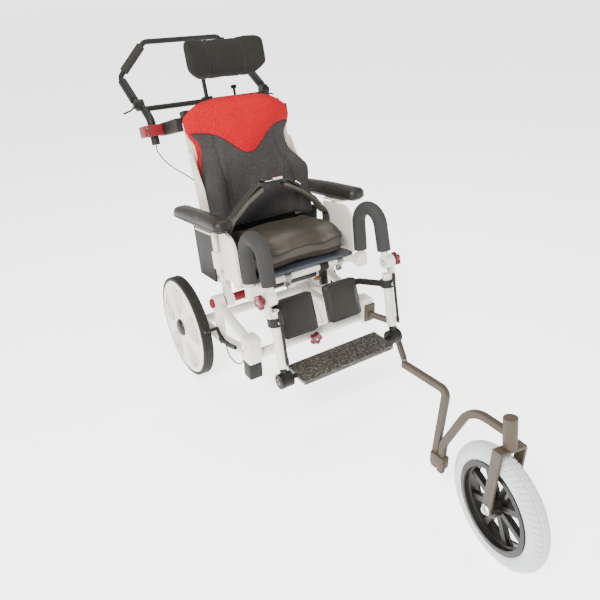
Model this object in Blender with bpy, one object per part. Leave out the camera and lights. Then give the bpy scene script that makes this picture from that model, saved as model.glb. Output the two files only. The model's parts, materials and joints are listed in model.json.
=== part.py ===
"""Paediatric tilting wheelchair with a detachable front wheel, as separate working sub-parts.

Metres, +Z up. The chair faces -Y, so the user's left is +X. While modelling, the rear axle is at
y = 0 and the ground at z = 0; the last step moves everything so that the origin lies on the ground
below the middle of the chair's bounding box.
"""
import math

import bmesh
import bpy
from mathutils import Matrix, Vector

# How round the round pieces are
FACETS = 12
FINE_FACETS = 18
WHEEL_FACETS = 30
THIN_STRIP = 0.0105    # bars thinner than this keep square edges

# Clearances
GAP = 0.0003           # between pieces that touch
RUN = 0.0005           # radial clearance of a turning or sliding piece

# Wheels
REAR_RADIUS = 0.1525
REAR_TYRE_WIDTH = 0.030
REAR_TYRE_DEPTH = 0.010
TRACK = 0.450          # between the rear wheels' middle planes
FRONT_RADIUS = 0.1285
FRONT_TYRE_WIDTH = 0.043
FRONT_TYRE_DEPTH = 0.034
FRONT_SPOKES = 8
WHEELBASE = 0.979
AXLE_RADIUS = 0.006

# Base frame
FRAME_WIDTH = 0.364    # between the side tubes' middle planes
TUBE_RADIUS = 0.013
PIVOT_FORWARD = 0.150  # seat tilt pivot, ahead of the rear axle
PIVOT_HEIGHT = 0.283
PIVOT_TUBE_RADIUS = 0.0125
PIVOT_TUBE_OVERHANG = 0.008
FOOT_TUBE_HEIGHT = 0.168
LUG_FORWARD = 0.333
LUG_WIDTH = 0.040
LUG_DEPTH = 0.046
LUG_BOTTOM = 0.190
LUG_TOP = 0.262
CROSS_TUBE_HEIGHT = 0.2035
RECEIVER_SIZE = 0.036
RECEIVER_BORE = 0.022
RECEIVER_LENGTH = 0.046

# Front wheel arm
ARM_SIZE = 0.016
ARM_WIDTH = 0.012
ARM_OUTBOARD = 0.2165
ARM_DROP_FORWARD = 0.8135
ARM_DROP_LEAN = 0.012   # how much further forward its upper end stands
ARM_STUB_GAP = 0.0018
ARM_FRONT_HEIGHT = 0.312
ARM_LOW_END = 0.106
CLAMP_WALL = 0.0038
CLAMP_HEIGHT = 0.030
HEAD_TUBE_RADIUS = 0.0135
HEAD_TUBE_LENGTH = 0.062
HEAD_FORWARD = 0.982
HEAD_HEIGHT = 0.315
HEAD_RAKE = math.radians(8)
FORK_STEER = math.radians(-11)
FORK_LEG_THICKNESS = 0.005
FORK_LEG_DEPTH = 0.024
STEERER_RADIUS = 0.007

# Seat, measured square to the seat and from the tilt pivot
SEAT_TILT = math.radians(7)
RAIL_SPREAD = 0.300
RAIL_RADIUS = 0.011
RAIL_LIFT = 0.080
RAIL_FRONT = 0.214
RAIL_REAR = 0.016
PAN_THICKNESS = 0.010
SEAT_WIDTH = 0.304
SEAT_FRONT = 0.185
SEAT_REAR = 0.034
SEAT_THICKNESS = 0.078
GUARD_THICKNESS = 0.008
GUARD_INSIDE = 0.1735
GUARD_FRONT = 0.156
GUARD_REAR = 0.026
GUARD_TOP = 0.214
ARM_PAD_LENGTH = 0.290
ARM_PAD_WIDTH = 0.060
ARM_PAD_THICKNESS = 0.040
ARM_PAD_FRONT = 0.168
ARM_PAD_TOP = 0.262
ARM_PAD_SPREAD = 0.400
ARM_POST_WIDTH = 0.022
ARM_POST_THICKNESS = 0.006
ARM_POST_BACK = 0.060  # post's middle, ahead of the pivot

# Back, measured along the posts and from the recline pivot
BACK_PIVOT_BACK = 0.074
BACK_PIVOT_LIFT = 0.054
BACK_RECLINE = math.radians(7)
SIDE_PLATE_X = 0.1635
POST_SPREAD = 0.264
POST_RADIUS = 0.0125
POST_LENGTH = 0.446
SHELL_THICKNESS = 0.005
SHELL_BOTTOM = 0.125
SHELL_TOP = 0.416
CUSHION_BOTTOM = 0.120
CUSHION_TOP = 0.478
SEAM_DIP = 0.313
SEAM_SIDES = 0.384
CUSHION_WIDTH = 0.304
CUSHION_FLARE = 0.014   # how far each shoulder of the cushion reaches past its width

# Push bar
PUSH_SPREAD = 0.400
PUSH_TUBE_RADIUS = 0.0115
PUSH_BACK = 0.114
PUSH_LOW_END = 0.375
CLAMP_CENTRE = 0.413
CLAMP_BLOCK_HEIGHT = 0.030
HINGE_BACK = 0.162
HINGE_LIFT = 0.488
HINGE_RADIUS = 0.016
HANDLE_CORNER_BACK = 0.2657
HANDLE_CORNER_LIFT = 0.5794
HANDLE_TOP_SPREAD = 0.236
HANDLE_TOP_BACK = 0.2491
HANDLE_TOP_LIFT = 0.6669
HANDLE_RADIUS = 0.0075
GRIP_RADIUS = 0.0125

# Headrest
HEAD_PAD_WIDTH = 0.238
HEAD_PAD_HEIGHT = 0.114
HEAD_PAD_THICKNESS = 0.046
HEAD_PAD_BACK = 0.004
HEAD_PAD_LIFT = 0.568
STEM_RADIUS = 0.006

# Leg rests, measured from their pivot
HANGER_SPREAD = 0.340
HANGER_REAR = 0.1945
HANGER_BEND = 0.045
HANGER_STRAIGHT_TOP = 0.178
HANGER_LEAN = 0.012   # how far the front leg of the hanger slopes forward
HANGER_RADIUS = 0.0095
HANGER_PAD_RADIUS = 0.0175
LEG_PIVOT_LIFT = 0.0905
LEG_ANGLE = math.radians(4.5)
LEG_TUBE_RADIUS = 0.0125
LEG_TUBE_TOP = 0.030
LEG_TUBE_BOTTOM = 0.174
LEG_INNER_RADIUS = 0.009
LEG_INNER_TOP = 0.078
FOOT_BAR_DROP = 0.207
FOOT_BAR_RADIUS = 0.006
KNUCKLE_RADIUS = 0.0185
FOOTPLATE_WIDTH = 0.276
FOOTPLATE_FRONT = 0.040
FOOTPLATE_REAR = 0.040
FOOTPLATE_THICKNESS = 0.018
CALF_PAD_SIZE = 0.104
CALF_PAD_THICKNESS = 0.030
CALF_PAD_BACK = 0.0566  # pad's front face behind the leg tubes
CALF_PAD_DROP = 0.090
CALF_PAD_SPREAD = 0.140
CALF_PAD_LEAN = math.radians(8)
COLLAR_DROP = 0.056
COLLAR_RADIUS = 0.019

# Cables
CABLE_RADIUS = 0.0016

# Derived places
FRAME_X = FRAME_WIDTH / 2
WHEEL_X = TRACK / 2
PIVOT_Y = -PIVOT_FORWARD
LUG_Y = -LUG_FORWARD
ARM_STUB_Y = -ARM_DROP_FORWARD - ARM_SIZE - ARM_STUB_GAP
RAIL_X = RAIL_SPREAD / 2
POST_X = POST_SPREAD / 2
PUSH_X = PUSH_SPREAD / 2
HANGER_FRONT = HANGER_REAR + 2 * HANGER_BEND + HANGER_LEAN
LEG_X = HANGER_SPREAD / 2
PAN_BOTTOM = RAIL_LIFT + RAIL_RADIUS + GAP
PAN_TOP = PAN_BOTTOM + PAN_THICKNESS
SEAT_BOTTOM = PAN_TOP + GAP
SHELL_BACK_FACE = -POST_RADIUS - GAP
SHELL_FRONT_FACE = SHELL_BACK_FACE - SHELL_THICKNESS
CUSHION_BACK_FACE = SHELL_FRONT_FACE - GAP
SIDES = {"left": 1, "right": -1}


def clear_scene():
    for old in list(bpy.data.objects):
        bpy.data.objects.remove(old, do_unlink=True)


def material(name, colour, roughness, metallic=0.0):
    made = bpy.data.materials.new(name)
    made.use_nodes = True
    shader = made.node_tree.nodes["Principled BSDF"]
    shader.inputs["Base Color"].default_value = (*colour, 1)
    shader.inputs["Roughness"].default_value = roughness
    shader.inputs["Metallic"].default_value = metallic
    return made


def object_from(mesh, name="piece"):
    made = bpy.data.objects.new(name, mesh)
    bpy.context.scene.collection.objects.link(made)
    return made


def turn_faces_out(bm):
    bmesh.ops.recalc_face_normals(bm, faces=bm.faces)
    if bm.calc_volume(signed=True) < 0:
        bmesh.ops.reverse_faces(bm, faces=bm.faces)


def object_from_bmesh(bm, name="piece"):
    turn_faces_out(bm)
    mesh = bpy.data.meshes.new(name)
    bm.to_mesh(mesh)
    bm.free()
    return object_from(mesh, name)


def baked(source):
    """The evaluated mesh of an object as a new plain mesh object; the source is removed."""
    graph = bpy.context.evaluated_depsgraph_get()
    mesh = bpy.data.meshes.new_from_object(source.evaluated_get(graph))
    bpy.data.objects.remove(source, do_unlink=True)
    return object_from(mesh)


def boolean(body, tools, operation):
    for tool in tools:
        step = body.modifiers.new(operation.lower(), "BOOLEAN")
        step.operation = operation
        step.object = tool
    result = baked(body)
    for tool in tools:
        bpy.data.objects.remove(tool, do_unlink=True)
    return result


def union(body, *tools):
    return boolean(body, tools, "UNION")


def cut(body, *tools):
    return boolean(body, tools, "DIFFERENCE")


def finish(piece, name, surface, frame=None, pivot=None):
    """Name a piece, give it its material and parent, and put its origin on its joint axis."""
    piece.name = name
    piece.data.name = name
    piece.data.materials.clear()
    piece.data.materials.append(surface)
    piece.data.shade_smooth()
    piece.data.set_sharp_from_angle(angle=math.radians(35))
    if pivot is not None:
        piece.data.transform(Matrix.Translation(-Vector(pivot)))
        piece.location = piece.matrix_basis @ Vector(pivot)
    if frame is not None:
        piece.parent = frame
    return piece


def frame_at(name, location, tilt=0.0, parent=None):
    """An empty that carries an assembly; tilt turns it about the chair's cross axis."""
    empty = bpy.data.objects.new(name, None)
    bpy.context.scene.collection.objects.link(empty)
    empty.location = location
    empty.rotation_euler = (-tilt, 0, 0)
    empty.parent = parent
    return empty


def box(low, high, bevel=0.0, segments=2):
    bm = bmesh.new()
    bmesh.ops.create_cube(bm, size=1)
    size = [high[i] - low[i] for i in range(3)]
    middle = [(high[i] + low[i]) / 2 for i in range(3)]
    bmesh.ops.scale(bm, vec=size, verts=bm.verts)
    if bevel:
        bmesh.ops.bevel(bm, geom=bm.edges[:], offset=bevel, segments=segments, profile=0.5,
                        affect="EDGES", clamp_overlap=True)
    bmesh.ops.translate(bm, vec=middle, verts=bm.verts)
    return object_from_bmesh(bm)


def cylinder(start, end, radius, sides=FACETS, end_radius=None):
    start, end = Vector(start), Vector(end)
    axis = end - start
    bm = bmesh.new()
    far = radius if end_radius is None else end_radius
    bmesh.ops.create_cone(bm, cap_ends=True, segments=sides, radius1=radius, radius2=far,
                          depth=axis.length)
    turn = axis.to_track_quat("Z", "Y").to_matrix().to_4x4()
    bmesh.ops.transform(bm, matrix=Matrix.Translation((start + end) / 2) @ turn, verts=bm.verts)
    return object_from_bmesh(bm)


def across(x0, x1, y, z, radius, sides=FACETS):
    """A cylinder along the chair's cross axis."""
    return cylinder((min(x0, x1), y, z), (max(x0, x1), y, z), radius, sides)


def bent(corners, radius, step=math.radians(24)):
    """The corners' route with each inner corner rounded by an arc."""
    corners = [Vector(c) for c in corners]
    route = [corners[0]]
    for before, corner, after in zip(corners, corners[1:], corners[2:]):
        to_before = (before - corner).normalized()
        to_after = (after - corner).normalized()
        angle = to_before.angle(to_after)
        reach = min(radius / math.tan(angle / 2), 0.45 * (before - corner).length,
                    0.45 * (after - corner).length)
        used = reach * math.tan(angle / 2)
        centre = corner + (to_before + to_after).normalized() * (used / math.sin(angle / 2))
        first = corner + to_before * reach - centre
        last = corner + to_after * reach - centre
        turn = first.angle(last)
        count = max(2, round(turn / step))
        for k in range(count + 1):
            part = k / count
            blend = (math.sin((1 - part) * turn) * first + math.sin(part * turn) * last)
            route.append(centre + blend / math.sin(turn))
    route.append(corners[-1])
    return route


def rod(corners, radius, bend=0.0, resolution=3):
    """A round bar along a route, as a bevelled curve with its ends filled."""
    route = bent(corners, bend) if bend else [Vector(c) for c in corners]
    curve = bpy.data.curves.new("route", "CURVE")
    curve.dimensions = "3D"
    curve.use_fill_caps = True
    curve.twist_mode = "MINIMUM"
    curve.bevel_depth = radius
    curve.bevel_resolution = resolution
    spline = curve.splines.new("POLY")
    spline.points.add(len(route) - 1)
    for point, place in zip(spline.points, route):
        point.co = (*place, 1)
    piece = baked(object_from(curve))
    bm = bmesh.new()
    bm.from_mesh(piece.data)
    bmesh.ops.remove_doubles(bm, verts=bm.verts, dist=0.00001)
    turn_faces_out(bm)
    bm.to_mesh(piece.data)
    bm.free()
    return piece


def flat_section(width, height):
    """Corners of a rectangle, with small chamfers unless it is a thin strip."""
    half_w, half_h = width / 2, height / 2
    if min(width, height) < THIN_STRIP:
        return [(half_w, half_h), (-half_w, half_h), (-half_w, -half_h), (half_w, -half_h)]
    chamfer = 0.12 * min(width, height)
    corners = []
    for sx, sy in ((1, 1), (-1, 1), (-1, -1), (1, -1)):
        first = (sx * half_w, sy * (half_h - chamfer))
        second = (sx * (half_w - chamfer), sy * half_h)
        corners += [first, second] if sx * sy > 0 else [second, first]
    return corners


def bar(corners, width, height, bend=0.0, width_along=(1, 0, 0), level=False):
    """A bar of rectangular section along a route, mitred where it turns; level keeps its width flat."""
    route = bent(corners, bend) if bend else [Vector(c) for c in corners]
    legs = [(b - a).normalized() for a, b in zip(route, route[1:])]
    across_way = Vector(width_along)
    bm = bmesh.new()
    rings = []
    for k, place in enumerate(route):
        leg = legs[max(k - 1, 0)]
        after = legs[min(k, len(legs) - 1)]
        if level and abs(leg.z) < 0.98:
            flat = leg.cross(Vector((0, 0, 1)))
            across_way = flat if flat.dot(across_way) > 0 else -flat
        across_way = (across_way - leg * across_way.dot(leg)).normalized()
        up_way = leg.cross(across_way)
        normal = (leg + after).normalized()
        ring = []
        for u, v in flat_section(width, height):
            offset = across_way * u + up_way * v
            ring.append(bm.verts.new(place + offset - leg * (offset.dot(normal) / leg.dot(normal))))
        rings.append(ring)
        across_way = leg.rotation_difference(after) @ across_way
    for ring, following in zip(rings, rings[1:]):
        for k, vert in enumerate(ring):
            bm.faces.new([vert, ring[k - 1], following[k - 1], following[k]])
    bm.faces.new(rings[0])
    bm.faces.new(rings[-1])
    return object_from_bmesh(bm)


def turned(profile, steps=FINE_FACETS):
    """A closed profile of (radius, x) points, turned about the cross axis."""
    bm = bmesh.new()
    verts = [bm.verts.new((x, r, 0)) for r, x in profile]
    sides = zip(verts, verts[1:] + verts[:1])
    edges = [bm.edges.new((a, b)) for a, b in sides if a.co.y > 0 or b.co.y > 0]
    bmesh.ops.spin(bm, geom=verts + edges, cent=(0, 0, 0), axis=(1, 0, 0), angle=2 * math.pi,
                   steps=steps, use_merge=True)
    bmesh.ops.remove_doubles(bm, verts=bm.verts, dist=0.00001)
    return object_from_bmesh(bm)


def moved(piece, offset):
    piece.data.transform(Matrix.Translation(offset))
    return piece


def turned_by(piece, angle, axis, centre):
    there = Matrix.Translation(centre)
    back = Matrix.Translation(-Vector(centre))
    piece.data.transform(there @ Matrix.Rotation(angle, 4, axis) @ back)
    return piece


def extruded(outline, x0, x1):
    """A plate between two cross positions, from an outline of (y, z) points."""
    bm = bmesh.new()
    face = bm.faces.new([bm.verts.new((x0, y, z)) for y, z in outline])
    grown = bmesh.ops.extrude_face_region(bm, geom=[face])
    new = [g for g in grown["geom"] if isinstance(g, bmesh.types.BMVert)]
    bmesh.ops.translate(bm, vec=(x1 - x0, 0, 0), verts=new)
    return object_from_bmesh(bm)


def arc(centre, radius, start, end, count):
    """Points of (y, z) on an arc, angles in degrees from +Y towards +Z."""
    points = []
    for k in range(count + 1):
        angle = math.radians(start + (end - start) * k / count)
        points.append((centre[0] + radius * math.cos(angle), centre[1] + radius * math.sin(angle)))
    return points


def soft_block(counts, shape):
    """A closed skin of a cube's grid; shape maps its (u, v, w), each from -1 to 1, to a place."""
    nx, ny, nz = counts
    bm = bmesh.new()
    made = {}

    def vert(i, j, k):
        if (i, j, k) not in made:
            spot = (2 * i / nx - 1, 2 * j / ny - 1, 2 * k / nz - 1)
            made[(i, j, k)] = bm.verts.new(shape(*spot))
        return made[(i, j, k)]

    def quad(*corners):
        bm.faces.new([vert(*c) for c in corners])

    for i in range(nx):
        for j in range(ny):
            for k in (0, nz):
                quad((i, j, k), (i + 1, j, k), (i + 1, j + 1, k), (i, j + 1, k))
    for i in range(nx):
        for k in range(nz):
            for j in (0, ny):
                quad((i, j, k), (i + 1, j, k), (i + 1, j, k + 1), (i, j, k + 1))
    for j in range(ny):
        for k in range(nz):
            for i in (0, nx):
                quad((i, j, k), (i, j + 1, k), (i, j + 1, k + 1), (i, j, k + 1))
    return object_from_bmesh(bm)


def smooth(t):
    """Rise from 0 to 1 without a kink at either end."""
    t = min(1.0, max(0.0, t))
    return t * t * (3 - 2 * t)


def rounded(u, v, w, half, radius):
    """A point of the unit cube carried to a box of the given half sizes with round edges."""
    spread = [math.sin(math.pi / 2 * c) if abs(c) < 1 else c for c in (u, v, w)]
    place = [s * h for s, h in zip(spread, half)]
    inner = [max(-(h - radius), min(h - radius, p)) for p, h in zip(place, half)]
    out = Vector([p - q for p, q in zip(place, inner)])
    if out.length > 1e-9:
        out = out.normalized() * radius
    return Vector(inner) + out


# Sub-assemblies


def rear_wheel(side, paint):
    """Solid tyre on a dished disc with five shallow oval recesses and a raised hub cap."""
    sign = SIDES[side]
    half = REAR_TYRE_WIDTH / 2
    rim = REAR_RADIUS - REAR_TYRE_DEPTH
    shoulder = 0.004
    tyre = turned([(rim + GAP, -half), (rim + GAP, half), (REAR_RADIUS - shoulder, half),
                   (REAR_RADIUS, half - shoulder), (REAR_RADIUS, shoulder - half),
                   (REAR_RADIUS - shoulder, -half)], WHEEL_FACETS)
    hub, dish, cap, bore_end = 0.026, 0.060, 0.015, 0.012
    bore = AXLE_RADIUS + RUN
    disc = turned([(0, bore_end), (bore, bore_end), (bore, -half + GAP), (hub, -half + GAP),
                   (hub + 0.004, -0.008), (rim - 0.018, -0.008), (rim - 0.012, -half + 0.002),
                   (rim, -half + 0.002), (rim, half - 0.001), (dish, half + 0.004),
                   (cap + 0.002, half + 0.003), (cap - 0.001, half + 0.013), (0, half + 0.014)],
                  WHEEL_FACETS)
    recesses = []
    for k in range(5):
        angle = 2 * math.pi * k / 5 + math.radians(20)
        middle = 0.089
        oval = cylinder((half + 0.001, 0, 0), (half + 0.012, 0, 0), 0.024, 12, 0.030)
        oval.data.transform(Matrix.Diagonal((1, 0.62, 1, 1)))
        oval.data.transform(Matrix.Rotation(angle, 4, "X") @ Matrix.Translation((0, middle, 0)))
        recesses.append(oval)
    disc = cut(disc, *recesses)
    centre = Vector((sign * WHEEL_X, 0, REAR_RADIUS))
    for piece, name, surface in ((tyre, "rear_tyre_", "tyre"), (disc, "rear_disc_", "white")):
        if sign < 0:
            piece.data.transform(Matrix.Rotation(math.pi, 4, "Z"))
        moved(piece, centre)
        finish(piece, name + side, paint[surface], pivot=centre)


def frame_side(side, paint):
    """One welded side of the base: foot tube, upright, diagonal, pivot boss, lug and stub axle."""
    x = SIDES[side] * FRAME_X
    axle = (x, 0, REAR_RADIUS)
    foot = (x, PIVOT_Y, FOOT_TUBE_HEIGHT)
    into_lug = LUG_Y + LUG_DEPTH / 4
    foot_tube = rod([axle, (x, -0.055, FOOT_TUBE_HEIGHT - 0.004), foot,
                     (x, into_lug, LUG_BOTTOM + TUBE_RADIUS + 0.004)], TUBE_RADIUS, bend=0.05)
    upright = cylinder((x, PIVOT_Y, FOOT_TUBE_HEIGHT), (x, PIVOT_Y, PIVOT_HEIGHT), TUBE_RADIUS)
    diagonal = cylinder((x, PIVOT_Y, PIVOT_HEIGHT - 0.006),
                        (x, into_lug, LUG_TOP - TUBE_RADIUS - 0.006), TUBE_RADIUS - 0.001)
    boss = across(x - 0.014, x + 0.014, PIVOT_Y, PIVOT_HEIGHT, PIVOT_TUBE_RADIUS + 0.008, FINE_FACETS)
    lug = box((x - LUG_WIDTH / 2, LUG_Y - LUG_DEPTH / 2, LUG_BOTTOM),
              (x + LUG_WIDTH / 2, LUG_Y + LUG_DEPTH / 2, LUG_TOP), bevel=0.006)
    out = SIDES[side]
    wheel_face = WHEEL_X - REAR_TYRE_WIDTH / 2
    hub_boss = across(x - out * (TUBE_RADIUS + 0.001), out * (wheel_face - 0.003), 0, REAR_RADIUS,
                      0.020)
    stub = across(x, out * (WHEEL_X + 0.0115), 0, REAR_RADIUS, AXLE_RADIUS)
    body = union(foot_tube, upright, diagonal, boss, lug, hub_boss, stub)
    body = cut(body, across(x - 0.02, x + 0.02, PIVOT_Y, PIVOT_HEIGHT, PIVOT_TUBE_RADIUS + GAP, FINE_FACETS))
    finish(body, "frame_side_" + side, paint["white"])


def foot_tube_height(y):
    """Height of the foot tube's axis between the upright and the lug."""
    share = (PIVOT_Y - y) / (PIVOT_Y - (LUG_Y + LUG_DEPTH / 4))
    return FOOT_TUBE_HEIGHT + share * (LUG_BOTTOM + TUBE_RADIUS + 0.004 - FOOT_TUBE_HEIGHT)


def base_tubes(paint):
    inner = FRAME_X - TUBE_RADIUS - 0.001 - GAP
    axle = across(-inner, inner, 0, REAR_RADIUS, 0.014)
    finish(axle, "axle_tube", paint["white"])
    end = FRAME_X + TUBE_RADIUS + PIVOT_TUBE_OVERHANG
    pivot = across(-end, end, PIVOT_Y, PIVOT_HEIGHT, PIVOT_TUBE_RADIUS, FINE_FACETS)
    finish(pivot, "pivot_tube", paint["red_metal"])
    lug_face = FRAME_X - LUG_WIDTH / 2 - GAP
    cross = across(-lug_face, lug_face, LUG_Y, CROSS_TUBE_HEIGHT, TUBE_RADIUS)
    finish(cross, "front_cross_tube", paint["white"])
    half = RECEIVER_SIZE / 2
    top = LUG_BOTTOM - GAP
    receiver = box((-FRAME_X - half, LUG_Y - half, top - RECEIVER_LENGTH),
                   (-FRAME_X + half, LUG_Y + half, top), bevel=0.002, segments=1)
    bore = RECEIVER_BORE / 2
    socket = box((-FRAME_X - bore, LUG_Y - bore, top - RECEIVER_LENGTH - 0.01),
                 (-FRAME_X + bore, LUG_Y + bore, top - 0.010))
    finish(cut(receiver, socket), "castor_receiver_right", paint["black"])


def star_knob(centre, axis, name, paint, frame=None):
    """A five-lobed clamping knob; axis points from its seat to its face."""
    centre, axis = Vector(centre), Vector(axis)
    lobes, rim, depth = 5, 0.0165, 0.013
    outline = []
    points = 6 * lobes
    for k in range(points):
        angle = 2 * math.pi * k / points
        outline.append((rim * (1 + 0.14 * math.cos(lobes * angle)), angle))
    bm = bmesh.new()
    face = bm.faces.new([bm.verts.new((r * math.cos(a), r * math.sin(a), 0.006))
                         for r, a in outline])
    grown = bmesh.ops.extrude_face_region(bm, geom=[face])
    top = [g for g in grown["geom"] if isinstance(g, bmesh.types.BMVert)]
    bmesh.ops.translate(bm, vec=(0, 0, depth), verts=top)
    neck = cylinder((0, 0, 0), (0, 0, 0.008), 0.007)
    knob = union(object_from_bmesh(bm), neck)
    knob.data.transform(axis.to_track_quat("Z", "Y").to_matrix().to_4x4())
    moved(knob, centre)
    finish(knob, name, paint["red_metal"], frame=frame, pivot=centre)


def brake_lever(side, paint):
    """Lever beside the foot tube whose shoe meets the tyre when it is raised."""
    out = SIDES[side]
    hub_y, hub_z = -0.188, FOOT_TUBE_HEIGHT + 0.020
    inner = out * (FRAME_X + TUBE_RADIUS + GAP)
    outer = out * (FRAME_X + TUBE_RADIUS + GAP + 0.008)
    to_axle = math.hypot(hub_y, hub_z - REAR_RADIUS)
    shoe_radius = 0.005
    throw = to_axle - REAR_RADIUS - shoe_radius - GAP
    rest = math.radians(45)
    shoe_y = hub_y + throw * math.cos(rest)
    shoe_z = hub_z + throw * math.sin(rest)
    hub = across(inner, outer, hub_y, hub_z, 0.011)
    middle = outer - out * 0.004
    handle = bar([(middle, hub_y, hub_z), (middle, hub_y - 0.045, hub_z + 0.004),
                  (middle, hub_y - 0.085, hub_z + 0.016)], 0.007, 0.010, bend=0.02)
    crank = bar([(middle, hub_y, hub_z), (middle, shoe_y, shoe_z)], 0.007, 0.010)
    shoe = across(outer - out * 0.007, out * (WHEEL_X + 0.012), shoe_y, shoe_z, shoe_radius)
    finish(union(hub, handle, crank, shoe), "brake_lever_" + side, paint["black"],
           pivot=(outer, hub_y, hub_z))


def front_arm(paint):
    """Square tube from the left lug, out round the foot rest, then along the middle and down."""
    half = ARM_SIZE / 2
    half_width = ARM_WIDTH / 2
    plate_face = LUG_Y - LUG_DEPTH / 2 - GAP
    plate = box((FRAME_X - 0.017, plate_face - 0.008, LUG_BOTTOM + 0.010),
                (FRAME_X + 0.017, plate_face, LUG_TOP - 0.012), bevel=0.002, segments=1)
    height = LUG_BOTTOM + 0.030
    route = [(FRAME_X, plate_face - 0.004, height), (FRAME_X + 0.002, plate_face - 0.014, height),
             (ARM_OUTBOARD, plate_face - 0.046, height - 0.014),
             (ARM_OUTBOARD, plate_face - 0.072, height - 0.030),
             (ARM_OUTBOARD, -0.478, ARM_LOW_END), (0, -0.700, ARM_FRONT_HEIGHT - 0.004),
             (0, -ARM_DROP_FORWARD - ARM_DROP_LEAN, ARM_FRONT_HEIGHT),
             (0, -ARM_DROP_FORWARD, ARM_LOW_END + 0.048), (0, -ARM_DROP_FORWARD, ARM_LOW_END)]
    tube = bar(route, ARM_WIDTH, ARM_SIZE, bend=0.014, level=True)
    jaw = half + CLAMP_WALL
    jaw_width = half_width + CLAMP_WALL
    low = ARM_LOW_END + 0.010
    clamp = box((-jaw_width, ARM_STUB_Y - jaw, low),
                (jaw_width, -ARM_DROP_FORWARD + half, low + CLAMP_HEIGHT), bevel=0.002, segments=1)
    passage = box((-half_width - GAP, ARM_STUB_Y - half - GAP, low - 0.01),
                  (half_width + GAP, ARM_STUB_Y + half + GAP, low + CLAMP_HEIGHT + 0.01))
    finish(cut(union(tube, plate, clamp), passage), "front_arm", paint["bronze"])


def wheel_arm(paint):
    """Lower arm that slides in the clamp and carries the head tube."""
    stub_y = ARM_STUB_Y
    rake = Vector((0, -math.sin(HEAD_RAKE), -math.cos(HEAD_RAKE)))
    head = Vector((0, -HEAD_FORWARD, HEAD_HEIGHT))
    route = [(0, stub_y, ARM_LOW_END - 0.004), (0, stub_y, 0.178),
             (0, stub_y - 0.060, HEAD_HEIGHT - 0.004),
             (0, -HEAD_FORWARD + 0.004, HEAD_HEIGHT - 0.004)]
    tube = bar(route, ARM_WIDTH, ARM_SIZE, bend=0.060)
    top = head - rake * HEAD_TUBE_LENGTH / 2
    bottom = head + rake * HEAD_TUBE_LENGTH / 2
    head_tube = cylinder(bottom, top, HEAD_TUBE_RADIUS, FINE_FACETS)
    bore = cylinder(bottom + rake * 0.01, top + rake * 0.008, STEERER_RADIUS + RUN, FINE_FACETS)
    body = cut(union(tube, head_tube), bore)
    finish(body, "wheel_arm", paint["bronze"], pivot=(0, stub_y, ARM_LOW_END))
    return bottom, top, rake


def front_fork(bottom, top, rake, paint):
    """Crown, steerer, two flat legs and the axle, turned about the raked steering axis."""
    axle = Vector((0, -WHEELBASE, FRONT_RADIUS))
    crown_top = bottom + rake * GAP
    leg_x = FRONT_TYRE_WIDTH / 2 + 0.0035
    outer = leg_x + FORK_LEG_THICKNESS
    depth = FORK_LEG_DEPTH / 2
    crown = box((-outer, -depth, -0.007), (outer, depth, 0), bevel=0.0015, segments=1)
    crown.data.transform(Matrix.Rotation(HEAD_RAKE * -1, 4, "X"))
    moved(crown, crown_top)
    steerer = cylinder(crown_top + rake * 0.003, top + rake * 0.010, STEERER_RADIUS, FINE_FACETS)
    parts = [steerer]
    for sign in (1, -1):
        middle = sign * (leg_x + FORK_LEG_THICKNESS / 2)
        high = crown_top + rake * 0.004
        leg = bar([(middle, high.y, high.z), (middle, axle.y, axle.z)],
                  FORK_LEG_THICKNESS - 0.0004, FORK_LEG_DEPTH)
        foot = across(sign * leg_x + sign * 0.0004, sign * (outer - 0.0004), axle.y, axle.z,
                      depth + 0.0015)
        parts += [leg, foot]
    parts.append(across(-outer - 0.004, outer + 0.004, axle.y, axle.z, AXLE_RADIUS))
    fork = union(crown, *parts)
    steer = Matrix.Translation(bottom) @ Matrix.Rotation(FORK_STEER, 4, -rake) @ Matrix.Translation(-bottom)
    fork.data.transform(steer)
    finish(fork, "front_fork", paint["bronze"], pivot=bottom)
    return steer, axle


def front_wheel(steer, axle, paint):
    """Pneumatic tyre on an eight-spoke plastic rim."""
    half = FRONT_TYRE_WIDTH / 2
    seat = FRONT_RADIUS - FRONT_TYRE_DEPTH
    section = [(seat + GAP, -0.017), (seat + GAP, 0.017)]
    arc_steps = 7
    for k in range(arc_steps + 1):
        angle = math.radians(-20 + 220 * k / arc_steps)
        section.append((seat + FRONT_TYRE_DEPTH - half + half * math.sin(angle), half * math.cos(angle)))
    tyre = turned(section, WHEEL_FACETS)
    rim = turned([(seat - 0.016, -0.012), (seat - 0.016, 0.012), (seat - 0.010, 0.019), (seat, 0.020),
                  (seat, -0.020), (seat - 0.010, -0.019)], WHEEL_FACETS)
    hub = across(-half - 0.002, half + 0.002, 0, 0, 0.019, FINE_FACETS)
    spokes = []
    for k in range(FRONT_SPOKES):
        spoke = box((-0.011, -0.0060, 0.012), (0.011, 0.0060, seat - 0.013))
        spoke.data.transform(Matrix.Rotation(2 * math.pi * (k + 0.37) / FRONT_SPOKES, 4, "X"))
        spokes.append(spoke)
    rim = union(rim, hub, *spokes)
    rim = cut(rim, across(-half - 0.01, half + 0.01, 0, 0, AXLE_RADIUS + RUN))
    for piece, name, surface in ((tyre, "front_tyre", "grey_tyre"), (rim, "front_rim", "black")):
        moved(piece, axle)
        piece.data.transform(steer)
        finish(piece, name, paint[surface], pivot=steer @ axle)


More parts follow.
